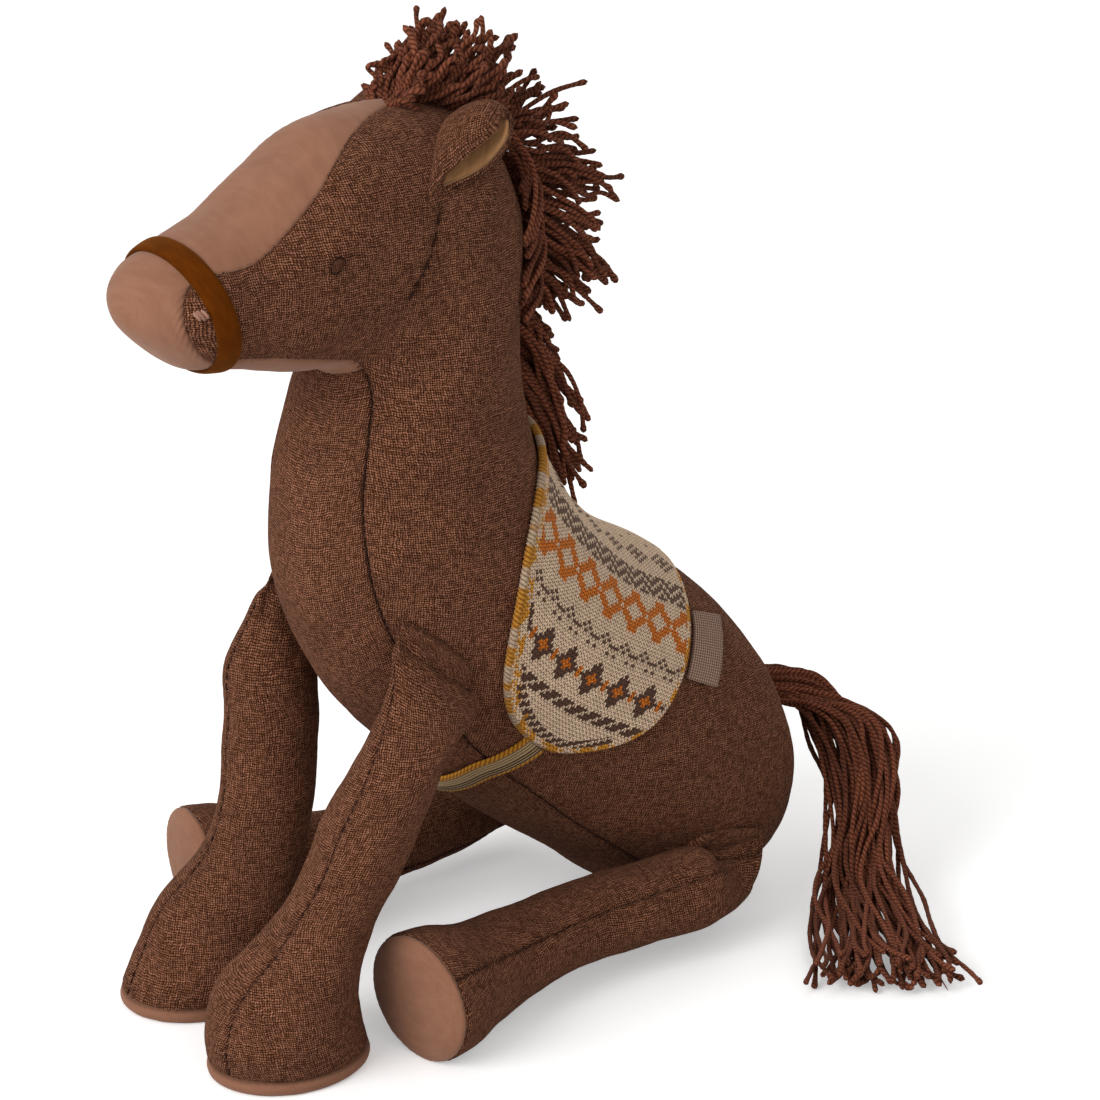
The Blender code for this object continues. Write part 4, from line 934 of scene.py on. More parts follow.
# ---- Threads and yarn ----
def tube(path, radius, sides):
    """Rings of points round a path; radius is one value a point. Also the turn and the distance of each."""
    path = np.asarray(path, float)
    length = path_length(path)
    tangent = unit(np.gradient(path, axis=0))
    frame_x = np.zeros_like(path)
    start = np.cross(tangent[0], (0.31, 0.52, 0.79))
    frame_x[0] = start / np.linalg.norm(start)
    for place in range(1, len(path)):
        kept = frame_x[place - 1] - tangent[place] * (frame_x[place - 1] @ tangent[place])
        frame_x[place] = kept / np.linalg.norm(kept)
    frame_y = np.cross(tangent, frame_x)
    turn = np.arange(sides) * TAU / sides
    ring = (frame_x[:, None] * np.cos(turn)[None, :, None] + frame_y[:, None] * np.sin(turn)[None, :, None])
    return path[:, None] + ring * np.asarray(radius, float)[:, None, None], turn, length


def threads(name, paths, radii, material, body, slot, pitch=4.6 * MM, sides=9, twist=0.0, seed=1, strands=None):
    """One piece of many strands; twist lets two plies show in the outline."""
    rng = np.random.default_rng(seed)
    points, faces, fibre, strand, place = [], [], [], [], []
    count = 0
    for number, (path, radius) in enumerate(zip(paths, radii)):
        rings, turn, length = tube(path, radius, sides)
        phase = rng.uniform(0, 1)
        spin = TAU * (length / pitch + phase)
        if twist:
            swell = 1 - twist + twist * np.cos(2 * (turn[None, :] + spin[:, None]))
            centre = rings.mean(axis=1, keepdims=True)
            rings = centre + (rings - centre) * swell[..., None]
        faces += grid_faces(len(rings), sides, count, wrap=True)
        faces.append(list(range(count, count + sides)))
        faces.append(list(range(count + (len(rings) - 1) * sides, count + len(rings) * sides))[::-1])
        count += rings.shape[0] * sides
        points.append(rings.reshape(-1, 3))
        turns = np.broadcast_to((length / pitch + phase)[:, None], rings.shape[:2])
        fibre.append(np.stack([np.broadcast_to(np.cos(turn), turns.shape), np.broadcast_to(np.sin(turn), turns.shape),
                               turns], axis=-1).reshape(-1, 3))
        shade = rng.uniform(0, 1)
        strand.append(np.full(turns.size, shade) if strands is None else np.repeat(strands[number], sides))
    points = np.concatenate(points)
    return add_piece(name, points, faces, material, body, slot, fibre=np.concatenate(fibre),
                     strand=np.concatenate(strand), place=points)


def even_path(points, step):
    """A smooth path through a few points, at even steps."""
    points = np.asarray(points, float)
    table = np.concatenate([[2 * points[0] - points[1]], points, [2 * points[-1] - points[-2]]])
    fine = np.linspace(0, len(points) - 1, 30 * len(points))
    index = np.minimum(fine.astype(int), len(points) - 2)
    curve = smooth_curve(table, index, (fine - index)[:, None])
    length = path_length(curve)
    count = max(int(length[-1] / step), 3)
    even = np.linspace(0, length[-1], count + 1)
    return np.stack([np.interp(even, length, curve[:, axis]) for axis in range(3)], axis=-1)


YARN_RADIUS = 0.76 * MM


def yarn_radius(path, rng, knot=True):
    """Yarn thickness along a strand: a little uneven, with a clubbed or a frayed end."""
    length = path_length(path)
    left = length[-1] - length
    radius = YARN_RADIUS * (1 + 0.07 * np.sin(length / (2.3 * MM) + rng.uniform(0, TAU)))
    if knot:
        radius = radius * (1 + rng.uniform(0.15, 0.60) * np.exp(-((left - 1.6 * MM) / (1.3 * MM)) ** 2))
    end = np.sqrt(np.clip(left / (0.9 * MM), 0.02, 1))
    return radius * end


# ---- Mane ----
MANE_WIDTH = 26 * MM
FORELOCK_HEIGHT, CREST_HEIGHT, NECK_MANE_HEIGHT = 24 * MM, 34 * MM, 31 * MM
FORELOCK = ((16.28, 0.00, 0.00, 30), (16.22, 0.45, 0.50, 29), (16.05, 0.88, 0.84, 27), (15.75, 1.04, 1.00, 25),
            (15.40, 1.02, 0.94, 22), (15.16, 0.60, 0.55, 20), (15.06, 0.00, 0.00, 20))
CREST = ((14.98, 0.00, 0.00, 6), (14.88, 0.55, 0.60, 8), (14.60, 0.90, 0.95, 14), (14.20, 1.00, 1.00, 26),
         (13.70, 1.00, 0.95, 30), (13.20, 0.98, 0.90, 26), (12.75, 0.86, 0.80, 30), (12.45, 0.50, 0.50, 30),
         (12.38, 0.00, 0.00, 30))
NECK_MANE = ((12.32, 0.00, 0.00, 40), (12.22, 0.50, 0.35, 42), (11.90, 0.78, 0.50, 44), (11.30, 1.00, 0.60, 48),
             (10.70, 1.12, 0.65, 52), (10.10, 1.05, 0.60, 56), (9.85, 0.70, 0.40, 58), (9.74, 0.00, 0.00, 58))


def make_mane(name, nodes, stations, height, count, seed, droop, wild, lengths, fallen=()):
    rng = np.random.default_rng(seed)
    table = np.array(stations, float)[::-1]
    low, high = table[0, 0] + 0.05, table[-1, 0] - 0.03
    paths, radii = [], []
    locks = rng.uniform(-1, 1, (count // 6 + 1, 4))
    for number in range(count):
        lock = locks[number // 6]
        ring = low + (high - low) * (number + rng.uniform(0, 1)) / count
        tall, wide, lean = (np.interp(ring, table[:, 0], table[:, column]) for column in (1, 2, 3))
        tall, wide = max(tall, 0.45) * height, max(wide, 0.35) * MANE_WIDTH / 2
        side = np.clip(0.75 * lock[0] + rng.uniform(-0.35, 0.35), -1, 1)
        root = BODY.lifted(np.array([ring]), np.array([0.13 * side]), 0.2 * MM)[0]
        upward = Vector(BODY.normal(np.array([ring]), np.array([0.0]))[0])
        tilt = radians(-lean + 11 * lock[1] + rng.normal(0, 0.55 * wild))
        rise = np.array(Matrix.Rotation(tilt, 3, "X") @ upward)
        reach = (tall * (0.55 + 0.45 * sqrt(1 - min(abs(side), 0.98) ** 2)) * rng.uniform(*lengths)
                 * (1 + 0.13 * lock[2]))
        shares = np.linspace(0, 1, 7)
        curl, phase = rng.uniform(0.4, 2.2) * MM, pi * lock[3] + rng.uniform(-0.9, 0.9)
        waves = rng.uniform(1.0, 2.2)
        lateral = side * wide * np.sin(np.minimum(shares * 1.25, 1) * pi / 2) ** 0.8
        points = root + rise * (reach * shares)[:, None] + np.array((1.0, 0, 0)) * lateral[:, None]
        along = np.cross(rise, (1.0, 0, 0))
        points += along * (curl * shares * np.sin(TAU * waves * shares + phase))[:, None]
        points[:, 0] += curl * shares * np.cos(TAU * waves * shares + phase)
        points[:, 2] -= droop * shares ** 2 * (0.4 + abs(side)) * rng.uniform(0.5, 1.4)
        points[-1] += rng.normal(0, 1.2 * MM, 3)
        path = even_path(points, 0.85 * MM)
        paths.append(path)
        radii.append(yarn_radius(path, rng))
    for side, number in fallen:
        for ring in np.linspace(low + 0.1, high - 0.35, number) + rng.uniform(-0.1, 0.1, number):
            shares = np.linspace(0, 1, 9)
            reach = rng.uniform(0.16, 0.27)
            turn = side * pi * (0.05 + reach * shares ** 0.9)
            place = (ring - rng.uniform(0.3, 0.75) * shares ** 1.6
                     + 0.06 * np.sin(TAU * shares + rng.uniform(0, TAU)))
            rise = MM * (0.9 + rng.uniform(2.5, 6.0) * np.sin(pi * shares ** 0.8) + rng.uniform(0, 1.5) * shares)
            path = even_path(BODY.lifted(place, turn, rise), 0.85 * MM)
            paths.append(path)
            radii.append(yarn_radius(path, rng))
    piece = threads(name, paths, radii, YARN, "body", "rust_yarn", pitch=3.0 * MM, twist=0.06, seed=seed, sides=7)
    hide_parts(*nodes)


make_mane("forelock_strands", ("mane_forelock",), FORELOCK, FORELOCK_HEIGHT, 170, 11, 3 * MM, 13, (0.70, 1.22))
make_mane("crest_strands", ("mane_crest",), CREST, CREST_HEIGHT, 255, 12, 8 * MM, 13, (0.62, 1.20),
          ((1, 26), (-1, 20)))
make_mane("neck_strands", ("mane_neck",), NECK_MANE, NECK_MANE_HEIGHT, 150, 13, 13 * MM, 9, (0.75, 1.25))


# ---- Tail ----
TAIL_ROOT, TAIL_WIDTH, TAIL_SWEEP, TAIL_BACK = 8.5 * MM, 36 * MM, 104 * MM, 18 * MM
TAIL_ROWS = (
    (0.000, 0.00, 1.000, 0.50, 0.50, 0), (0.010, 0.30, 1.010, 0.50, 0.50, 0), (0.090, 0.80, 0.970, 0.24, 0.27, 20),
    (0.260, 0.98, 0.840, 0.36, 0.24, 45), (0.385, 0.72, 0.640, 0.34, 0.22, 50), (0.465, 0.32, 0.450, 0.32, 0.20, 50),
    (0.530, -0.10, 0.270, 0.36, 0.18, 50), (0.640, -0.60, 0.170, 0.46, 0.15, 50),
    (0.800, -1.20, 0.125, 0.54, 0.13, 50), (0.930, -1.72, 0.105, 0.56, 0.11, 50),
    (1.000, -2.02, 0.075, 0.60, 0.08, 50))


# Yarns that stand out: how far each bulges and where along the tail
LOOSE_YARNS = {5: (0.95, 0.56), 17: (-0.8, 0.62)}
TAIL_YARNS, THIN_YARN = 92, 30


def tail_form():
    pivot = BODY.lifted(np.array([0.0]), np.array([0.0]), -0.5 * MM)[0]
    places = []
    for index, (aside, behind, height, half_width, half_thickness, heading) in enumerate(TAIL_ROWS):
        size = TAIL_ROOT if index < 2 else TAIL_WIDTH
        level = max(pivot[2] * height, size * half_thickness + CLEARANCE)
        side = np.array((cos(radians(heading)), sin(radians(heading)), 0))
        places.append((np.array((aside * TAIL_SWEEP, pivot[1] + behind * TAIL_BACK, level)), side,
                       size * half_width, size * half_thickness))
    rings = []
    for index, (centre, side, width, thickness) in enumerate(places):
        before, after = places[max(index - 1, 0)][0], places[min(index + 1, len(places) - 1)][0]
        rings.append((centre, unit(np.cross(side, after - before)) * thickness, side * width))
    return Form(rings, round_start=False, round_end=False)


def make_tail():
    rng = np.random.default_rng(21)
    form = tail_form()
    paths, radii = [], []
    for number in range(TAIL_YARNS):
        spot, reach = rng.uniform(0, TAU), sqrt(rng.uniform(0.02, 1))
        aside, above = cos(spot) * reach, sin(spot) * reach
        end = rng.uniform(0.885, 0.995)
        share = np.linspace(0, end, 15)
        first, second, slow, quick = rng.uniform(0, TAU, 4)
        sway = 0.16 * np.sin(TAU * 1.15 * share + first) + 0.07 * np.sin(TAU * 3.1 * share + second)
        lift = 0.30 * np.sin(TAU * 1.6 * share + slow) + 0.12 * np.sin(TAU * 4.0 * share + quick)
        fade = np.clip(share / 0.25, 0, 1)
        spread = np.clip((share - 0.80) / 0.2, 0, 1.2)
        wide = aside * (1 - 0.15 * fade) * (1 + 0.38 * spread) + sway * fade * 1.35
        tall = above * 0.8 + lift * fade
        if number in LOOSE_YARNS:
            bulge, place = LOOSE_YARNS[number]
            wide = wide + bulge * np.exp(-((share - place) / 0.05) ** 2)
        if number == THIN_YARN:
            share = np.linspace(0, 1, 17)
            wide, tall = np.linspace(0.4, 0.70, 17), np.full(17, 0.3)
        row = form.row(share * form.last)
        points = row[:, :3] + row[:, 3:6] * tall[:, None] + row[:, 6:9] * wide[:, None]
        points[-1] += rng.normal(0, 1.1 * MM, 3)
        points[:, 2] = np.maximum(points[:, 2], YARN_RADIUS * 1.15)
        path = even_path(points, 1.1 * MM)
        path[:, 2] = np.maximum(path[:, 2], YARN_RADIUS * 1.1)
        radius = yarn_radius(path, rng, knot=number != THIN_YARN)
        if number == THIN_YARN:
            radius = radius * np.interp(np.linspace(0, 1, len(path)), (0, 0.86, 0.9, 1), (1, 1, 0.45, 0.25))
        paths.append(path)
        radii.append(radius)
    piece = threads("tail_strands", paths, radii, YARN, "tail", "rust_yarn", pitch=3.0 * MM, twist=0.06, seed=5,
                    sides=6)
    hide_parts("tail_yarn")


make_tail()


# ---- Blanket ----
BLANKET_TOP = 2.1 * MM
WALE, COURSE = 1.32 * MM, 1.15 * MM
OUTLINE = ((0.00, 9.05, 4.72), (0.15, 9.15, 4.95), (0.28, 9.25, 5.30), (0.39, 9.10, 5.65), (0.49, 8.80, 6.05),
           (0.57, 8.50, 6.50), (0.63, 8.15, 6.95), (0.66, 7.75, 7.30))


def repeat(index, period):
    """How far a wale lies from the middle of its repeat."""
    return (index + period // 2) % period - period // 2


CREAM, ORANGE, GREY, BROWN, MUSTARD = range(5)


def knit_band(wale, course):
    """Which yarn each stitch has, as bands that run along the spine."""
    course = np.where(course < 0, -course - 1, course)
    side = np.abs(repeat(wale, 8))
    zigzag = np.abs(repeat(wale, 6))
    dye = np.full(wale.shape, CREAM)

    def put(mask, value):
        dye[mask] = value
    put((course == 6) & (wale % 8 == 3), BROWN)
    put((course == 10) & (wale % 8 == 6), GREY)
    away = np.abs(course - 16)
    put((away <= 3) & (np.abs(side + away - 3) < 1), BROWN)
    put((away <= 1) & (side + away <= 1), GREY)
    put((course >= 23) & (course <= 29) & ((course + zigzag) % 3 != 0), GREY)
    away = np.abs(course - 36)
    put((away <= 4) & (np.abs(side - away) <= 1) & (side + away > 0) | (away == 5) & (side >= 3), ORANGE)
    away = course - 45 - np.minimum(zigzag, 2)
    put((np.abs(away) < 1) | (away == 2) & (wale % 2 == 0), GREY)
    away = np.abs(course - 56)
    put((away <= 4) & (1.3 * side + away <= 4.4), BROWN)
    put((side <= 1) & (side + away <= 1) | (side == 4) & (away <= 1), ORANGE)
    put((course >= 63) & (course <= 65) & ((wale + course) % 4 != 0), BROWN)
    return dye


KNIT_DYES = np.array(((0.66, 0.475, 0.325), (0.56, 0.140, 0.008), (0.130, 0.068, 0.044), (0.092, 0.043, 0.027),
                      (0.56, 0.230, 0.018)))


def flat_knit():
    """The flat knit's grid: distance along the spine and round the body, with each place's ring and turn."""
    start, end = BODY.point(np.array(OUTLINE[0][1:]), np.zeros(2))
    axis = unit(end - start)
    along = np.arange(-4 * MM, 78 * MM, WALE / 4)
    turns = np.linspace(0, 0.72 * pi, 160)
    rings = np.linspace(3.8, 9.9, 600)
    places = (BODY.point(rings[None], turns[:, None]) - start) @ axis
    ring = np.stack([np.interp(along, row[::-1], rings[::-1]) for row in places])
    points = BODY.point(ring, turns[:, None])
    arc = column_length(points)
    round_way = np.arange(0, 90 * MM, COURSE / 3)
    turn = np.stack([np.interp(round_way, arc[:, column], turns) for column in range(len(along))], axis=1)
    ring = np.stack([np.interp(turn[:, column], turns, ring[:, column]) for column in range(len(along))], axis=1)
    rim = []
    for column in (1, 2):
        rows = np.array([(row[0] * pi, row[column]) for row in OUTLINE])
        place = (BODY.point(rows[:, 1], rows[:, 0]) - start) @ axis
        reach = [np.interp(x, along, [np.interp(t, turns, arc[:, k]) for k in range(len(along))])
                 for x, (t, _) in zip(place, rows)]
        rim.append(np.stack([place, reach], axis=-1))
    return along, round_way, ring, turn, np.concatenate([rim[0], rim[1][::-1]])


def inside(points, polygon):
    """Which points lie inside a closed polygon."""
    x, y = points[..., 0], points[..., 1]
    found = np.zeros(x.shape, bool)
    for (x1, y1), (x2, y2) in zip(polygon, np.roll(polygon, -1, axis=0)):
        crosses = (y1 > y) != (y2 > y)
        place = x1 + (y - y1) / np.where(y2 == y1, 1e-9, y2 - y1) * (x2 - x1)
        found ^= crosses & (x < place)
    return found


def stitch_height(u, v):
    """The relief of knit stitches: two slanted lobes a stitch, in wales and courses."""
    across = np.abs(2 * (u - np.floor(u)) - 1)
    course = v - STITCH_SLANT * across
    lobe = np.sin(pi * (course - np.floor(course)))
    leg = np.sin(pi * np.clip(across, 0.001, 0.999))
    return np.clip(1 - (1 - lobe) ** 1.5 * (1.05 - 0.55 * leg) - 0.3 * (1 - leg) ** 3, 0, 1)


def soft_rise(points, size, seed):
    """Smooth noise on a coarse grid, spread evenly over the fine one."""
    coarse = roll(points[::8, ::8], size, seed)
    rows = np.linspace(0, 1, coarse.shape[0])
    columns = np.linspace(0, 1, coarse.shape[1])
    wide = np.stack([np.interp(np.linspace(0, 1, points.shape[1]), columns, row) for row in coarse])
    return np.stack([np.interp(np.linspace(0, 1, points.shape[0]), rows, wide[:, column])
                     for column in range(points.shape[1])], axis=1)


def dye_patches(along, period, share, seed):
    """1 where the serging yarn is mustard, 0 where it is cream, along an edge."""
    wave = np.sin(TAU * along / period + seed) + 0.9 * np.sin(TAU * along / (period * 0.61) + 2 * seed)
    return np.clip((wave - share) * 4 + 0.5, 0, 1)


def build_blanket():
    along, round_way, ring, turn, rim = flat_knit()
    rim = even_path(np.column_stack([rim, np.zeros(len(rim))]), 1.0 * MM)
    ring = np.concatenate([ring[:0:-1], ring])
    turn = np.concatenate([-turn[:0:-1], turn])
    y, x = np.meshgrid(np.concatenate([-round_way[:0:-1], round_way]), along, indexing="ij")
    flat = np.stack([x, np.abs(y), np.zeros(x.shape)], axis=-1)
    edge, edge_along = line_distance(flat, rim)
    u, v = x / WALE, y / COURSE
    base = BODY.point(ring, turn)
    half = len(rim) * 0.46
    flare = np.exp(-edge / (7 * MM)) * (edge_along < half * MM)
    lift = (BLANKET_TOP + 0.38 * MM * stitch_height(u, v) + 0.8 * MM * flare
            + 0.40 * MM * soft_rise(base, 19 * MM, 61))
    points = base + BODY.normal(ring, turn) * lift[..., None]
    polygon = np.concatenate([rim[:, :2], [[rim[-1, 0], -1e-3], [rim[0, 0], -1e-3]]])
    kept = inside(flat[..., :2] + [[[0, 1e-6]]], polygon)
    quads = kept[:-1, :-1] & kept[1:, :-1] & kept[:-1, 1:] & kept[1:, 1:]
    rows, columns = x.shape
    index = np.arange(rows * columns).reshape(rows, columns)
    faces = np.stack([index[:-1, :-1], index[:-1, 1:], index[1:, 1:], index[1:, :-1]], axis=-1)[quads]
    middle_u = (u[:-1, :-1] + u[1:, 1:])[quads] / 2
    middle_v = (v[:-1, :-1] + v[1:, 1:])[quads] / 2
    middle_edge = edge[:-1, :-1][quads]
    middle_along = edge_along[:-1, :-1][quads]
    across = np.abs(2 * (middle_u - np.floor(middle_u)) - 1)
    course = np.floor(middle_v - STITCH_SLANT * across)
    wale = np.floor(middle_u).astype(int)
    dye = knit_band(wale, course.astype(int))
    total = rim.shape[0] * MM
    at_front = middle_along < 0.47 * total
    at_foot = (middle_along > 0.40 * total) & (middle_along < 0.62 * total)
    border = np.where(at_front, 3.6, np.where(at_foot, 2.4, 1.4)) * MM
    mustard = dye_patches(middle_along + 1.1 * middle_edge, 13 * MM, -0.1, 1.0) > 0.5
    speckle = ((wale * 7 + course.astype(int) * 3) % 5) == 0
    dye = np.where(middle_edge < border, np.where(mustard ^ speckle, MUSTARD, CREAM), dye)
    foot_row = (middle_edge < 5.0 * MM) & (middle_edge > 2.2 * MM) & at_foot
    dye = np.where(foot_row & ((wale + course) % 3 != 0), BROWN, dye)
    own = np.sin(wale * 12.9898 + course * 78.233 + (middle_u % 1 > 0.5) * 3.1) * 43.5453
    shade = 0.86 + 0.28 * (own - np.floor(own))
    colours = np.column_stack([KNIT_DYES[dye.astype(int)] * shade[:, None], np.ones(len(dye))])
    used, faces = np.unique(faces, return_inverse=True)
    faces = faces.reshape(-1, 4)
    knit = np.stack([u, v, np.zeros(u.shape)], axis=-1).reshape(-1, 3)[used]
    points = points.reshape(-1, 3)[used]
    piece = add_piece("blanket_knit", points, faces.tolist(), KNIT, "body", "cream_knit", knit=knit, place=points)
    stored = piece.data.attributes.new("dye", "FLOAT_COLOR", "FACE")
    stored.data.foreach_set("color", colours.astype(np.float32).ravel())
    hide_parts("saddle_blanket")
    serging = make_serging(ring, turn, x, y, rim)
    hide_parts("blanket_edging")


def make_serging(ring, turn, x, y, rim):
    """The overlocked edge, as one twisted cord round the blanket."""
    rows, columns = x.shape
    middle = rows // 2
    step_x, step_y = x[0, 1] - x[0, 0], y[1, 0] - y[0, 0]

    def pick(table, place):
        column = np.clip((place[:, 0] - x[0, 0]) / step_x, 0, columns - 1.001)
        row = np.clip(place[:, 1] / step_y + middle, 0, rows - 1.001)
        low_row, low_column = row.astype(int), column.astype(int)
        share_row, share_column = row - low_row, column - low_column
        top = table[low_row, low_column] * (1 - share_column) + table[low_row, low_column + 1] * share_column
        low = table[low_row + 1, low_column] * (1 - share_column) + table[low_row + 1, low_column + 1] * share_column
        return top * (1 - share_row) + low * share_row
    left = rim[:, :2]
    loop = np.concatenate([left, left[-2:0:-1] * (1, -1)])
    loop = np.concatenate([loop, loop[:3]])
    places = even_path(np.column_stack([loop, np.zeros(len(loop))]), 0.4 * MM)
    rings, turns = pick(ring, places), pick(turn, places)
    away = np.arange(len(places)) * 0.4 * MM
    total = away[-1]
    side_away = np.minimum(away, total - away)
    at_front = side_away < 0.235 * total
    thick = moving_mean(np.where(at_front, 1.35, 1.0), 10) * MM
    flare = 0.8 * MM * moving_mean(at_front.astype(float), 10)
    path = BODY.lifted(rings, turns, 1.35 * MM + flare)
    dye = dye_patches(side_away, 13 * MM, -0.1, 1.0)
    return threads("blanket_serging", [path], [thick], SERGE, "body", "ochre_thread", pitch=2.5 * MM, sides=14,
                   twist=0.16, seed=3, strands=[dye])


def band(name, places, across_steps, half_width, thickness, material, body, slot, ribs=0.0, rib_count=1, crown=0.0,
         mark=None):
    """A closed strap: places gives the ring-and-turn line, its step across and its lift for each row."""
    across = np.concatenate([np.linspace(-1, 1, across_steps), np.linspace(1, -1, 5)[1:-1]])
    upper = np.concatenate([np.ones(across_steps), np.zeros(3)])
    rows = [places(share) for share in across]
    low = np.stack([row[0] for row in rows], axis=1)
    normal = np.stack([row[1] for row in rows], axis=1)
    rounded = np.sqrt(np.clip(1 - np.abs(across) ** 6, 0, 1))
    height = upper * (thickness * (0.35 + 0.65 * rounded) + crown * (1 - across ** 2)
                      + ribs * np.cos(pi * rib_count * across))
    points = low + normal * height[None, :, None]
    count = low.shape[0]
    length = path_length(low[:, 0])
    faces = grid_faces(count, len(across), wrap=True)
    closed = np.linalg.norm(low[0] - low[-1], axis=-1).max() < 0.1 * MM
    if not closed:
        faces.append(list(range(len(across)))[::-1])
        faces.append(list(range((count - 1) * len(across), count * len(across))))
    web = np.stack(np.broadcast_arrays(across * half_width, length[:, None], 0.0), axis=-1)
    # mark gives the attribute seam, which darkens the strap: painted shade.
    seam = np.zeros(web.shape[:2]) if mark is None else mark(web)
    return add_piece(name, points, faces, material, body, slot, cloth=web.reshape(-1, 3), seam=seam.ravel())


def ring_step(ring, turn):
    """How many rings one metre is, at a place on the body."""
    return 0.02 / np.linalg.norm(BODY.point(ring + 0.01, turn) - BODY.point(ring - 0.01, turn), axis=-1)


GIRTH_HALF, GIRTH_END = 4.3 * MM, 0.672 * pi
RIBBON_HALF = 3.5 * MM
LABEL_HALF, LABEL_LENGTH, LABEL_START = 4.5 * MM, 21 * MM, 0.243 * pi


def make_girth():
    turns = np.linspace(GIRTH_END, TAU - GIRTH_END, 260)
    folded = np.minimum(turns, TAU - turns) / pi
    middle = np.interp(folded, (0.66, 0.685, 0.80, 1.0), (7.46, 7.50, 7.68, 7.60))
    middle = moving_mean(middle, 8)
    step = ring_step(middle, turns)

    def places(share):
        ring = middle + share * GIRTH_HALF * step
        return PLAIN_BODY.lifted(ring, turns, 1.2 * MM), PLAIN_BODY.normal(ring, turns)
    piece = band("girth_webbing", places, 43, GIRTH_HALF, 1.0 * MM, WEBBING, "body", "striped_webbing", 0.10 * MM, 9)
    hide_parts("girth_strap")


def make_noseband():
    turns = np.linspace(0, TAU, 241)
    ring = np.full(turns.shape, NOSEBAND_RING)
    step = ring_step(ring, turns)
    wave = 0.10 * np.sin(2 * turns + 0.6)

    def places(share):
        row = ring + (share * RIBBON_HALF + wave * MM) * step
        return BODY.lifted(row, turns, np.full(turns.shape, 0.25 * MM)), BODY.normal(row, turns)
    # The mark darkens both edges of the ribbon: painted shade on its rolled edges.
    piece = band("noseband_ribbon", places, 31, RIBBON_HALF, 1.25 * MM, RIBBON, "body", "caramel_velvet",
                 crown=0.35 * MM, mark=lambda web: 0.55 * np.abs(web[..., 0] / RIBBON_HALF) ** 5)
    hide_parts("noseband")


def make_label():
    fine = np.linspace(LABEL_START, LABEL_START + 0.30 * pi, 200)
    rear_edge = [(row[0], row[2]) for row in OUTLINE]
    rear = table_value(rear_edge, fine / pi)
    arc = path_length(BODY.point(rear, fine))
    turns = np.interp(np.linspace(0, LABEL_LENGTH, 64), arc, fine)
    edge = table_value(rear_edge, turns / pi)
    step = ring_step(edge, turns)

    def places(share):
        ring = edge - (2.6 * MM + 4.9 * MM * (1 - share)) * step
        lift = 1.0 * MM + 3.4 * MM * (1 - share) / 2
        return BODY.lifted(ring, turns, lift), BODY.normal(ring, turns)
    piece = band("label_tape", places, 41, LABEL_HALF, 0.7 * MM, GROSGRAIN, "body", "brown_grosgrain")
    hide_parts("label_tab")


# ---- Seam stitches ----
DASH, DASH_GAP, DASH_SWAY = 1.7 * MM, 1.1 * MM, 0.25 * MM


def dashes(form, line, depth, seed):
    """Short stitches along a line of places on a form."""
    rng = np.random.default_rng(seed)
    line = np.array(line, float)
    fine = np.linspace(0, len(line) - 1, 400)
    ring, turn = (np.interp(fine, range(len(line)), line[:, column]) for column in (0, 1))
    track = form.lifted(ring, turn, np.full(ring.shape, depth))
    length = path_length(track)
    outward = form.normal(ring, turn)
    paths = []
    start = 0.6 * MM
    while start + DASH < length[-1]:
        own = DASH * rng.uniform(0.8, 1.2)
        steps = np.linspace(start, start + own, 6)
        path = np.stack([np.interp(steps, length, track[:, axis]) for axis in range(3)], axis=-1)
        rise = np.stack([np.interp(steps, length, outward[:, axis]) for axis in range(3)], axis=-1)
        path += rise * (0.30 * MM * np.sin(np.linspace(0, pi, 6)) - 0.15 * MM)[:, None]
        path += rng.normal(0, 1, 3) * DASH_SWAY * 0.4
        paths.append(path)
        start += own + DASH_GAP * rng.uniform(0.8, 1.3)
    return paths


def add_stitches(name, parts, body, material=DARK_THREAD, radius=0.21 * MM, slot="brown_thread"):
    paths = [path for part in parts for path in part]
    return threads(name, paths, [np.full(len(path), radius) for path in paths], material, body, slot,
                   pitch=0.9 * MM, sides=6, seed=4)


def seam_line(first, last, turn, count):
    rings = np.linspace(first, last, count)
    return np.stack([rings, turn(rings)], axis=-1)


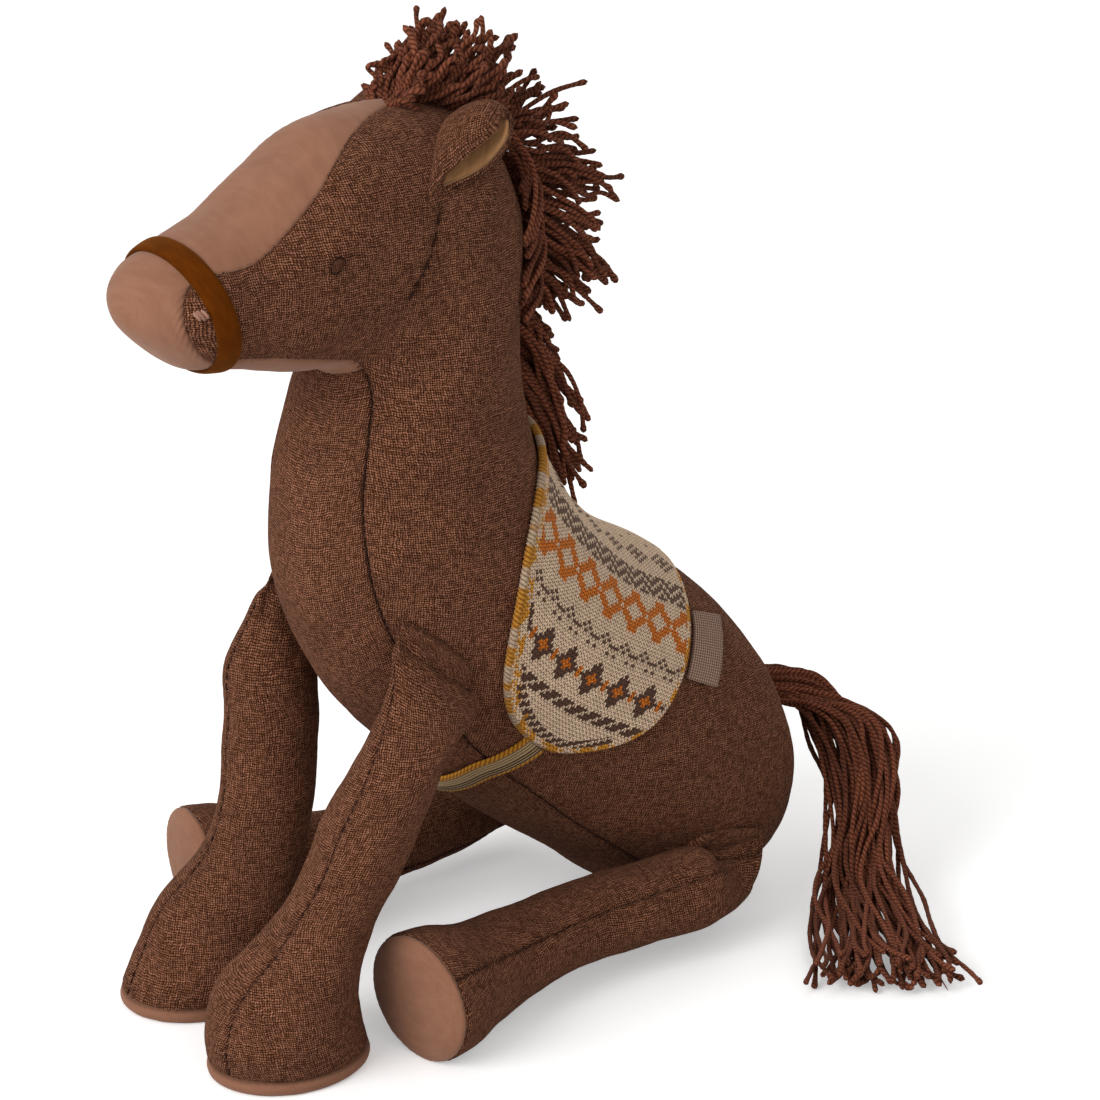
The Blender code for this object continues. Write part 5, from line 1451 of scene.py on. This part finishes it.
def make_body_stitches():
    parts = []
    for side in (1, -1):
        for line, seed in ((DART_SEAM, 2), (HIP_SEAM, 3)):
            parts.append(dashes(BODY, [(ring, side * share * pi) for ring, share in line], 0.10 * MM, seed=seed))
        belly_seam = seam_line(0.8, 13.8, lambda rings: side * low_turn(rings), 200)
        parts.append(dashes(BODY, belly_seam, -0.25 * MM, seed=4))
        step = ring_step(np.array([EYE_RING]), np.array([side * EYE_TURN]))[0]
        around = np.linspace(0, TAU, 25)
        parts.append([BODY.lifted(EYE_RING + 2.0 * MM * step * np.cos(around),
                                  side * (EYE_TURN + 1.65 * MM / (25 * MM) * np.sin(around)), 0.75 * MM)])
        behind = np.linspace(-3.1, -4.4, 6) * MM * step
        parts.append([BODY.lifted(EYE_RING + behind, np.full(6, side * (EYE_TURN - 0.03)), 0.7 * MM)])
    add_stitches("body_stitches", parts, "body")
    teeth = []
    for side in (1, -1):
        for start, end, edge, up in ((16.1, 20.05, top_turn, -1), (14.15, 20.0, low_turn, 1)):
            line = seam_line(start, end, lambda rings: side * edge(rings), 300)
            track = BODY.point(line[:, 0], line[:, 1])
            length = path_length(track)
            rng = np.random.default_rng(8)
            for place in np.arange(0.5 * MM, length[-1], 1.05 * MM):
                ring = np.interp(place, length, line[:, 0])
                turn = np.interp(place, length, line[:, 1])
                reach = (0.7 + 0.8 * rng.uniform()) * MM
                shares = np.linspace(-0.6, 1, 6)
                turns = turn + side * up * reach * shares / (26 * MM)
                lift = -0.55 * MM + 0.75 * MM * np.clip(np.abs(shares), 0, 0.7)
                teeth.append([BODY.lifted(np.full(6, ring), turns, lift)])
    add_stitches("seam_teeth", teeth, "body", LINEN_THREAD, 0.30 * MM, "brown_linen")


# ---- Face ----
def satin(name, node, place, radii, count, slant, material, slot, thread, dome):
    """An embroidered oval of threads laid side by side over the cloth."""
    side = 1 if place[1] > 0 else -1
    step = ring_step(np.array([place[0]]), np.array([place[1]]))[0]
    spin = np.linalg.norm(BODY.point(np.array([place[0]]), np.array([place[1] + 0.01]))
                          - BODY.point(np.array([place[0]]), np.array([place[1] - 0.01]))) / 0.02
    paths, sizes = [], []
    for number in range(count):
        share = (number + 0.5) / count * 2 - 1
        reach = sqrt(max(1 - share ** 2, 0.05)) * radii[1]
        track = np.linspace(-1, 1, 13)
        x = share * radii[0] * np.ones(13) + slant * track * reach
        y = track * reach
        lift = SKIN + 0.15 * MM + dome * np.sqrt(np.clip(1 - track ** 2, 0, 1)) * sqrt(max(1 - share ** 2, 0.1))
        paths.append(BODY.lifted(place[0] - x * step, place[1] + y / spin, lift))
        sizes.append(np.full(13, thread))
    piece = threads(name, paths, sizes, material, "body", slot, pitch=1.1 * MM, sides=8, seed=2)
    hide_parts(node)


# ---- Ears ----
EAR_TOP, EAR_LOW, EAR_AIM = (15.75, 0.15), (15.95, 0.44), (0.16, 0.88, 0.44)
EAR_LENGTH, EAR_BASE, EAR_DEPTH, EAR_CLOTH, EAR_LINING = 22.5 * MM, 29 * MM, 12 * MM, 0.9 * MM, 0.7 * MM
EAR_TURNS = radians(-128), radians(112)


def make_ear(side_name, side):
    top, low = (body_point(*place, side, 0) for place in (EAR_TOP, EAR_LOW))
    ring, share = ((first + second) / 2 for first, second in zip(EAR_TOP, EAR_LOW))
    normal = Vector(PLAIN_BODY.normal(np.array([ring]), np.array([side * pi * share]))[0])
    base = np.array(body_point(ring, share, side, 2 * CLEARANCE))
    aim = np.array(Vector((side * EAR_AIM[0], EAR_AIM[1], EAR_AIM[2])).normalized())
    across = (top - low).normalized()
    across = (across - normal * across.dot(normal)).normalized()
    facing = np.array(across.cross(normal) * side)
    across = np.array(across)

    def place(along, turn, lift):
        width = EAR_BASE / 2 * (np.clip(1 - along ** 2, 0, 1) ** 0.6 + 0.08 * along) + lift
        depth = EAR_DEPTH / 2 * (0.30 + 2.2 * along * (1 - along)) + lift
        return (base + aim * (EAR_LENGTH * along)[..., None] + across * (width * np.cos(turn))[..., None]
                + facing * (depth * np.sin(turn))[..., None])
    rows = 1 - (1 - np.linspace(0, 1, 46)) ** 1.5
    for kind, low_lift, high_lift, material, slot, inset in (
            ("outer", 0.0, EAR_CLOTH, LINEN, "brown_linen", 0.0),
            ("lining", -CLEARANCE - EAR_LINING, -CLEARANCE, KHAKI, "khaki_velvet", 0.05)):
        turns = np.linspace(EAR_TURNS[0] + inset, EAR_TURNS[1] - inset, 90)
        last = 1.0 if kind == "outer" else 0.95
        along, turn = np.meshgrid(rows * last, turns, indexing="ij")
        middle = place(along, turn, np.zeros(along.shape))
        down, over = arcs(middle)
        rim = np.minimum(np.minimum(over, over[:, -1:] - over), (down[-1:] - down))
        hem = np.exp(-((rim - 1.9 * MM) / (0.35 * MM)) ** 2)
        roll_over = 0.35 * MM * np.exp(-((rim - 0.9 * MM) / (0.7 * MM)) ** 2)
        ripple = 0.20 * MM * roll(middle, 6 * MM, 71) + 0.05 * MM * roll(middle, 2 * MM, 72)
        thin = np.sqrt(np.clip(rim / (0.7 * MM), 0.02, 1))
        centre = (low_lift + high_lift) / 2
        half = (high_lift - low_lift) / 2
        upper = place(along, turn, centre + half * thin + roll_over - 0.35 * MM * hem + ripple)
        under = place(along, turn, centre - half * thin + ripple)
        points = np.concatenate([upper.reshape(-1, 3), under.reshape(-1, 3)])
        count = along.size
        faces = grid_faces(*along.shape, flip=side < 0) + grid_faces(*along.shape, count, flip=side > 0)
        grid = np.arange(count).reshape(along.shape)
        border = np.concatenate([grid[0, :-1], grid[:-1, -1], grid[-1, :0:-1], grid[:0:-1, 0]])
        for first, second in zip(border, np.roll(border, -1)):
            quad = [int(first), int(second), int(second + count), int(first + count)]
            faces.append(quad if side < 0 else quad[::-1])
        cloth = np.stack([along * EAR_LENGTH, turn * 9 * MM, np.zeros(down.shape)], axis=-1).reshape(-1, 3)
        # The outer mark is painted shade in the stitched hem groove, darker at each stitch.
        dash = 0.6 + 0.4 * np.cos(TAU * (over + down) / (1.6 * MM))
        mark = (hem * dash).ravel() * 0.9
        # The lining's mark is painted shade, darker inside the cupped ear away from its rim.
        if kind == "lining":
            mark = 0.8 * np.clip((rim.ravel() - 1.4 * MM) / (3.0 * MM), 0, 1)
        piece = add_piece("ear_" + side_name + "_" + kind + "_cloth", points, faces, material, "ear_" + side_name,
                          slot, cloth=np.concatenate([cloth, cloth]), seam=np.concatenate([mark, mark * 0.3]))
        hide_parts("ear_" + side_name + "_" + kind)


build_blanket()
make_body_stitches()
for leg_name, (form, seam) in LEG_FORMS.items():
    rows = np.linspace(2.7, form.last - 0.05, 120)
    add_stitches(leg_name + "_stitches", [
        dashes(form, np.stack([rows, np.full(120, seam)], axis=-1), 0.05 * MM, seed=5),
        dashes(form, np.stack([rows, np.full(120, seam + pi)], axis=-1), 0.10 * MM, seed=6)], leg_name)
make_girth()
make_noseband()
make_label()
for side_name, side in SIDES:
    make_ear(side_name, side)
    satin("eye_" + side_name + "_thread", "eye_" + side_name, (EYE_RING, side * EYE_TURN), (1.75 * MM, 1.4 * MM), 7,
          0.15, EYE, "brown_thread", 0.34 * MM, 1.5 * MM)
    satin("nostril_" + side_name + "_thread", "nostril_" + side_name, (NOSTRIL_RING, side * NOSTRIL_TURN),
          (1.4 * MM, 1.15 * MM), 3, 0.35, PINK, "pink_thread", 0.55 * MM, 1.1 * MM)


# ---- Floor and light ----
def make_stage():
    floor = add_stage_plane("floor", 6.0)
    g = Graph("pale_floor", roughness=1.0, specular=0.0)
    ray = g.add("ShaderNodeLightPath").outputs
    plain = g.maths("MAXIMUM", g.maths("MAXIMUM", ray["Is Camera Ray"], ray["Is Glossy Ray"]),
                    ray["Is Transmission Ray"])
    g.shader.inputs["Emission Color"].default_value = (1, 1, 1, 1)
    g.tree.links.new(g.times(ray["Is Camera Ray"], 0.34), g.shader.inputs["Emission Strength"])
    floor.data.materials.append(g.finish(g.mix(plain, (0.72, 0.71, 0.70), (0.97, 0.97, 0.97))))
    world = bpy.data.worlds.new("studio")
    bpy.context.scene.world = world
    world.use_nodes = True
    tree = world.node_tree
    light = tree.nodes["Background"]
    light.inputs[0].default_value = (1.0, 0.99, 0.98, 1)
    light.inputs[1].default_value = WORLD_LIGHT
    seen = tree.nodes.new("ShaderNodeBackground")
    seen.inputs[0].default_value = (1, 1, 1, 1)
    seen.inputs[1].default_value = 1.0
    path = tree.nodes.new("ShaderNodeLightPath")
    either = tree.nodes.new("ShaderNodeMath")
    either.operation = "MAXIMUM"
    tree.links.new(path.outputs["Is Camera Ray"], either.inputs[0])
    tree.links.new(path.outputs["Is Transmission Ray"], either.inputs[1])
    mix = tree.nodes.new("ShaderNodeMixShader")
    tree.links.new(either.outputs[0], mix.inputs[0])
    tree.links.new(light.outputs[0], mix.inputs[1])
    tree.links.new(seen.outputs[0], mix.inputs[2])
    tree.links.new(mix.outputs[0], tree.nodes["World Output"].inputs[0])
    for name, aim, distance, size, power in LAMPS:
        lamp = bpy.data.objects.new(name, bpy.data.lights.new(name, "AREA"))
        bpy.context.scene.collection.objects.link(lamp)
        lamp.data.shape, lamp.data.size, lamp.data.energy = "DISK", size, power
        direction = Vector(aim).normalized()
        lamp.location = TARGET + direction * distance
        lamp.rotation_mode = "QUATERNION"
        lamp.rotation_quaternion = direction.to_track_quat("Z", "Y")


def add_stage_plane(name, size):
    mesh = bpy.data.meshes.new(name)
    half = size / 2
    mesh.from_pydata([(-half, -half, 0), (half, -half, 0), (half, half, 0), (-half, half, 0)], [], [(0, 1, 2, 3)])
    made = bpy.data.objects.new(name, mesh)
    bpy.context.scene.collection.objects.link(made)
    return made


# Lamps: name, the way to them from the object, distance, size and power
WORLD_LIGHT = 0.50
LAMPS = (
    ("key_lamp", (0.10, -1.0, 0.52), 1.6, 1.1, 17.0),
    ("fill_lamp", (1.0, -0.35, 0.60), 1.8, 1.2, 3.0),
    ("rim_lamp", (-0.6, 0.8, 0.9), 1.8, 0.9, 4.0),
)
make_stage()
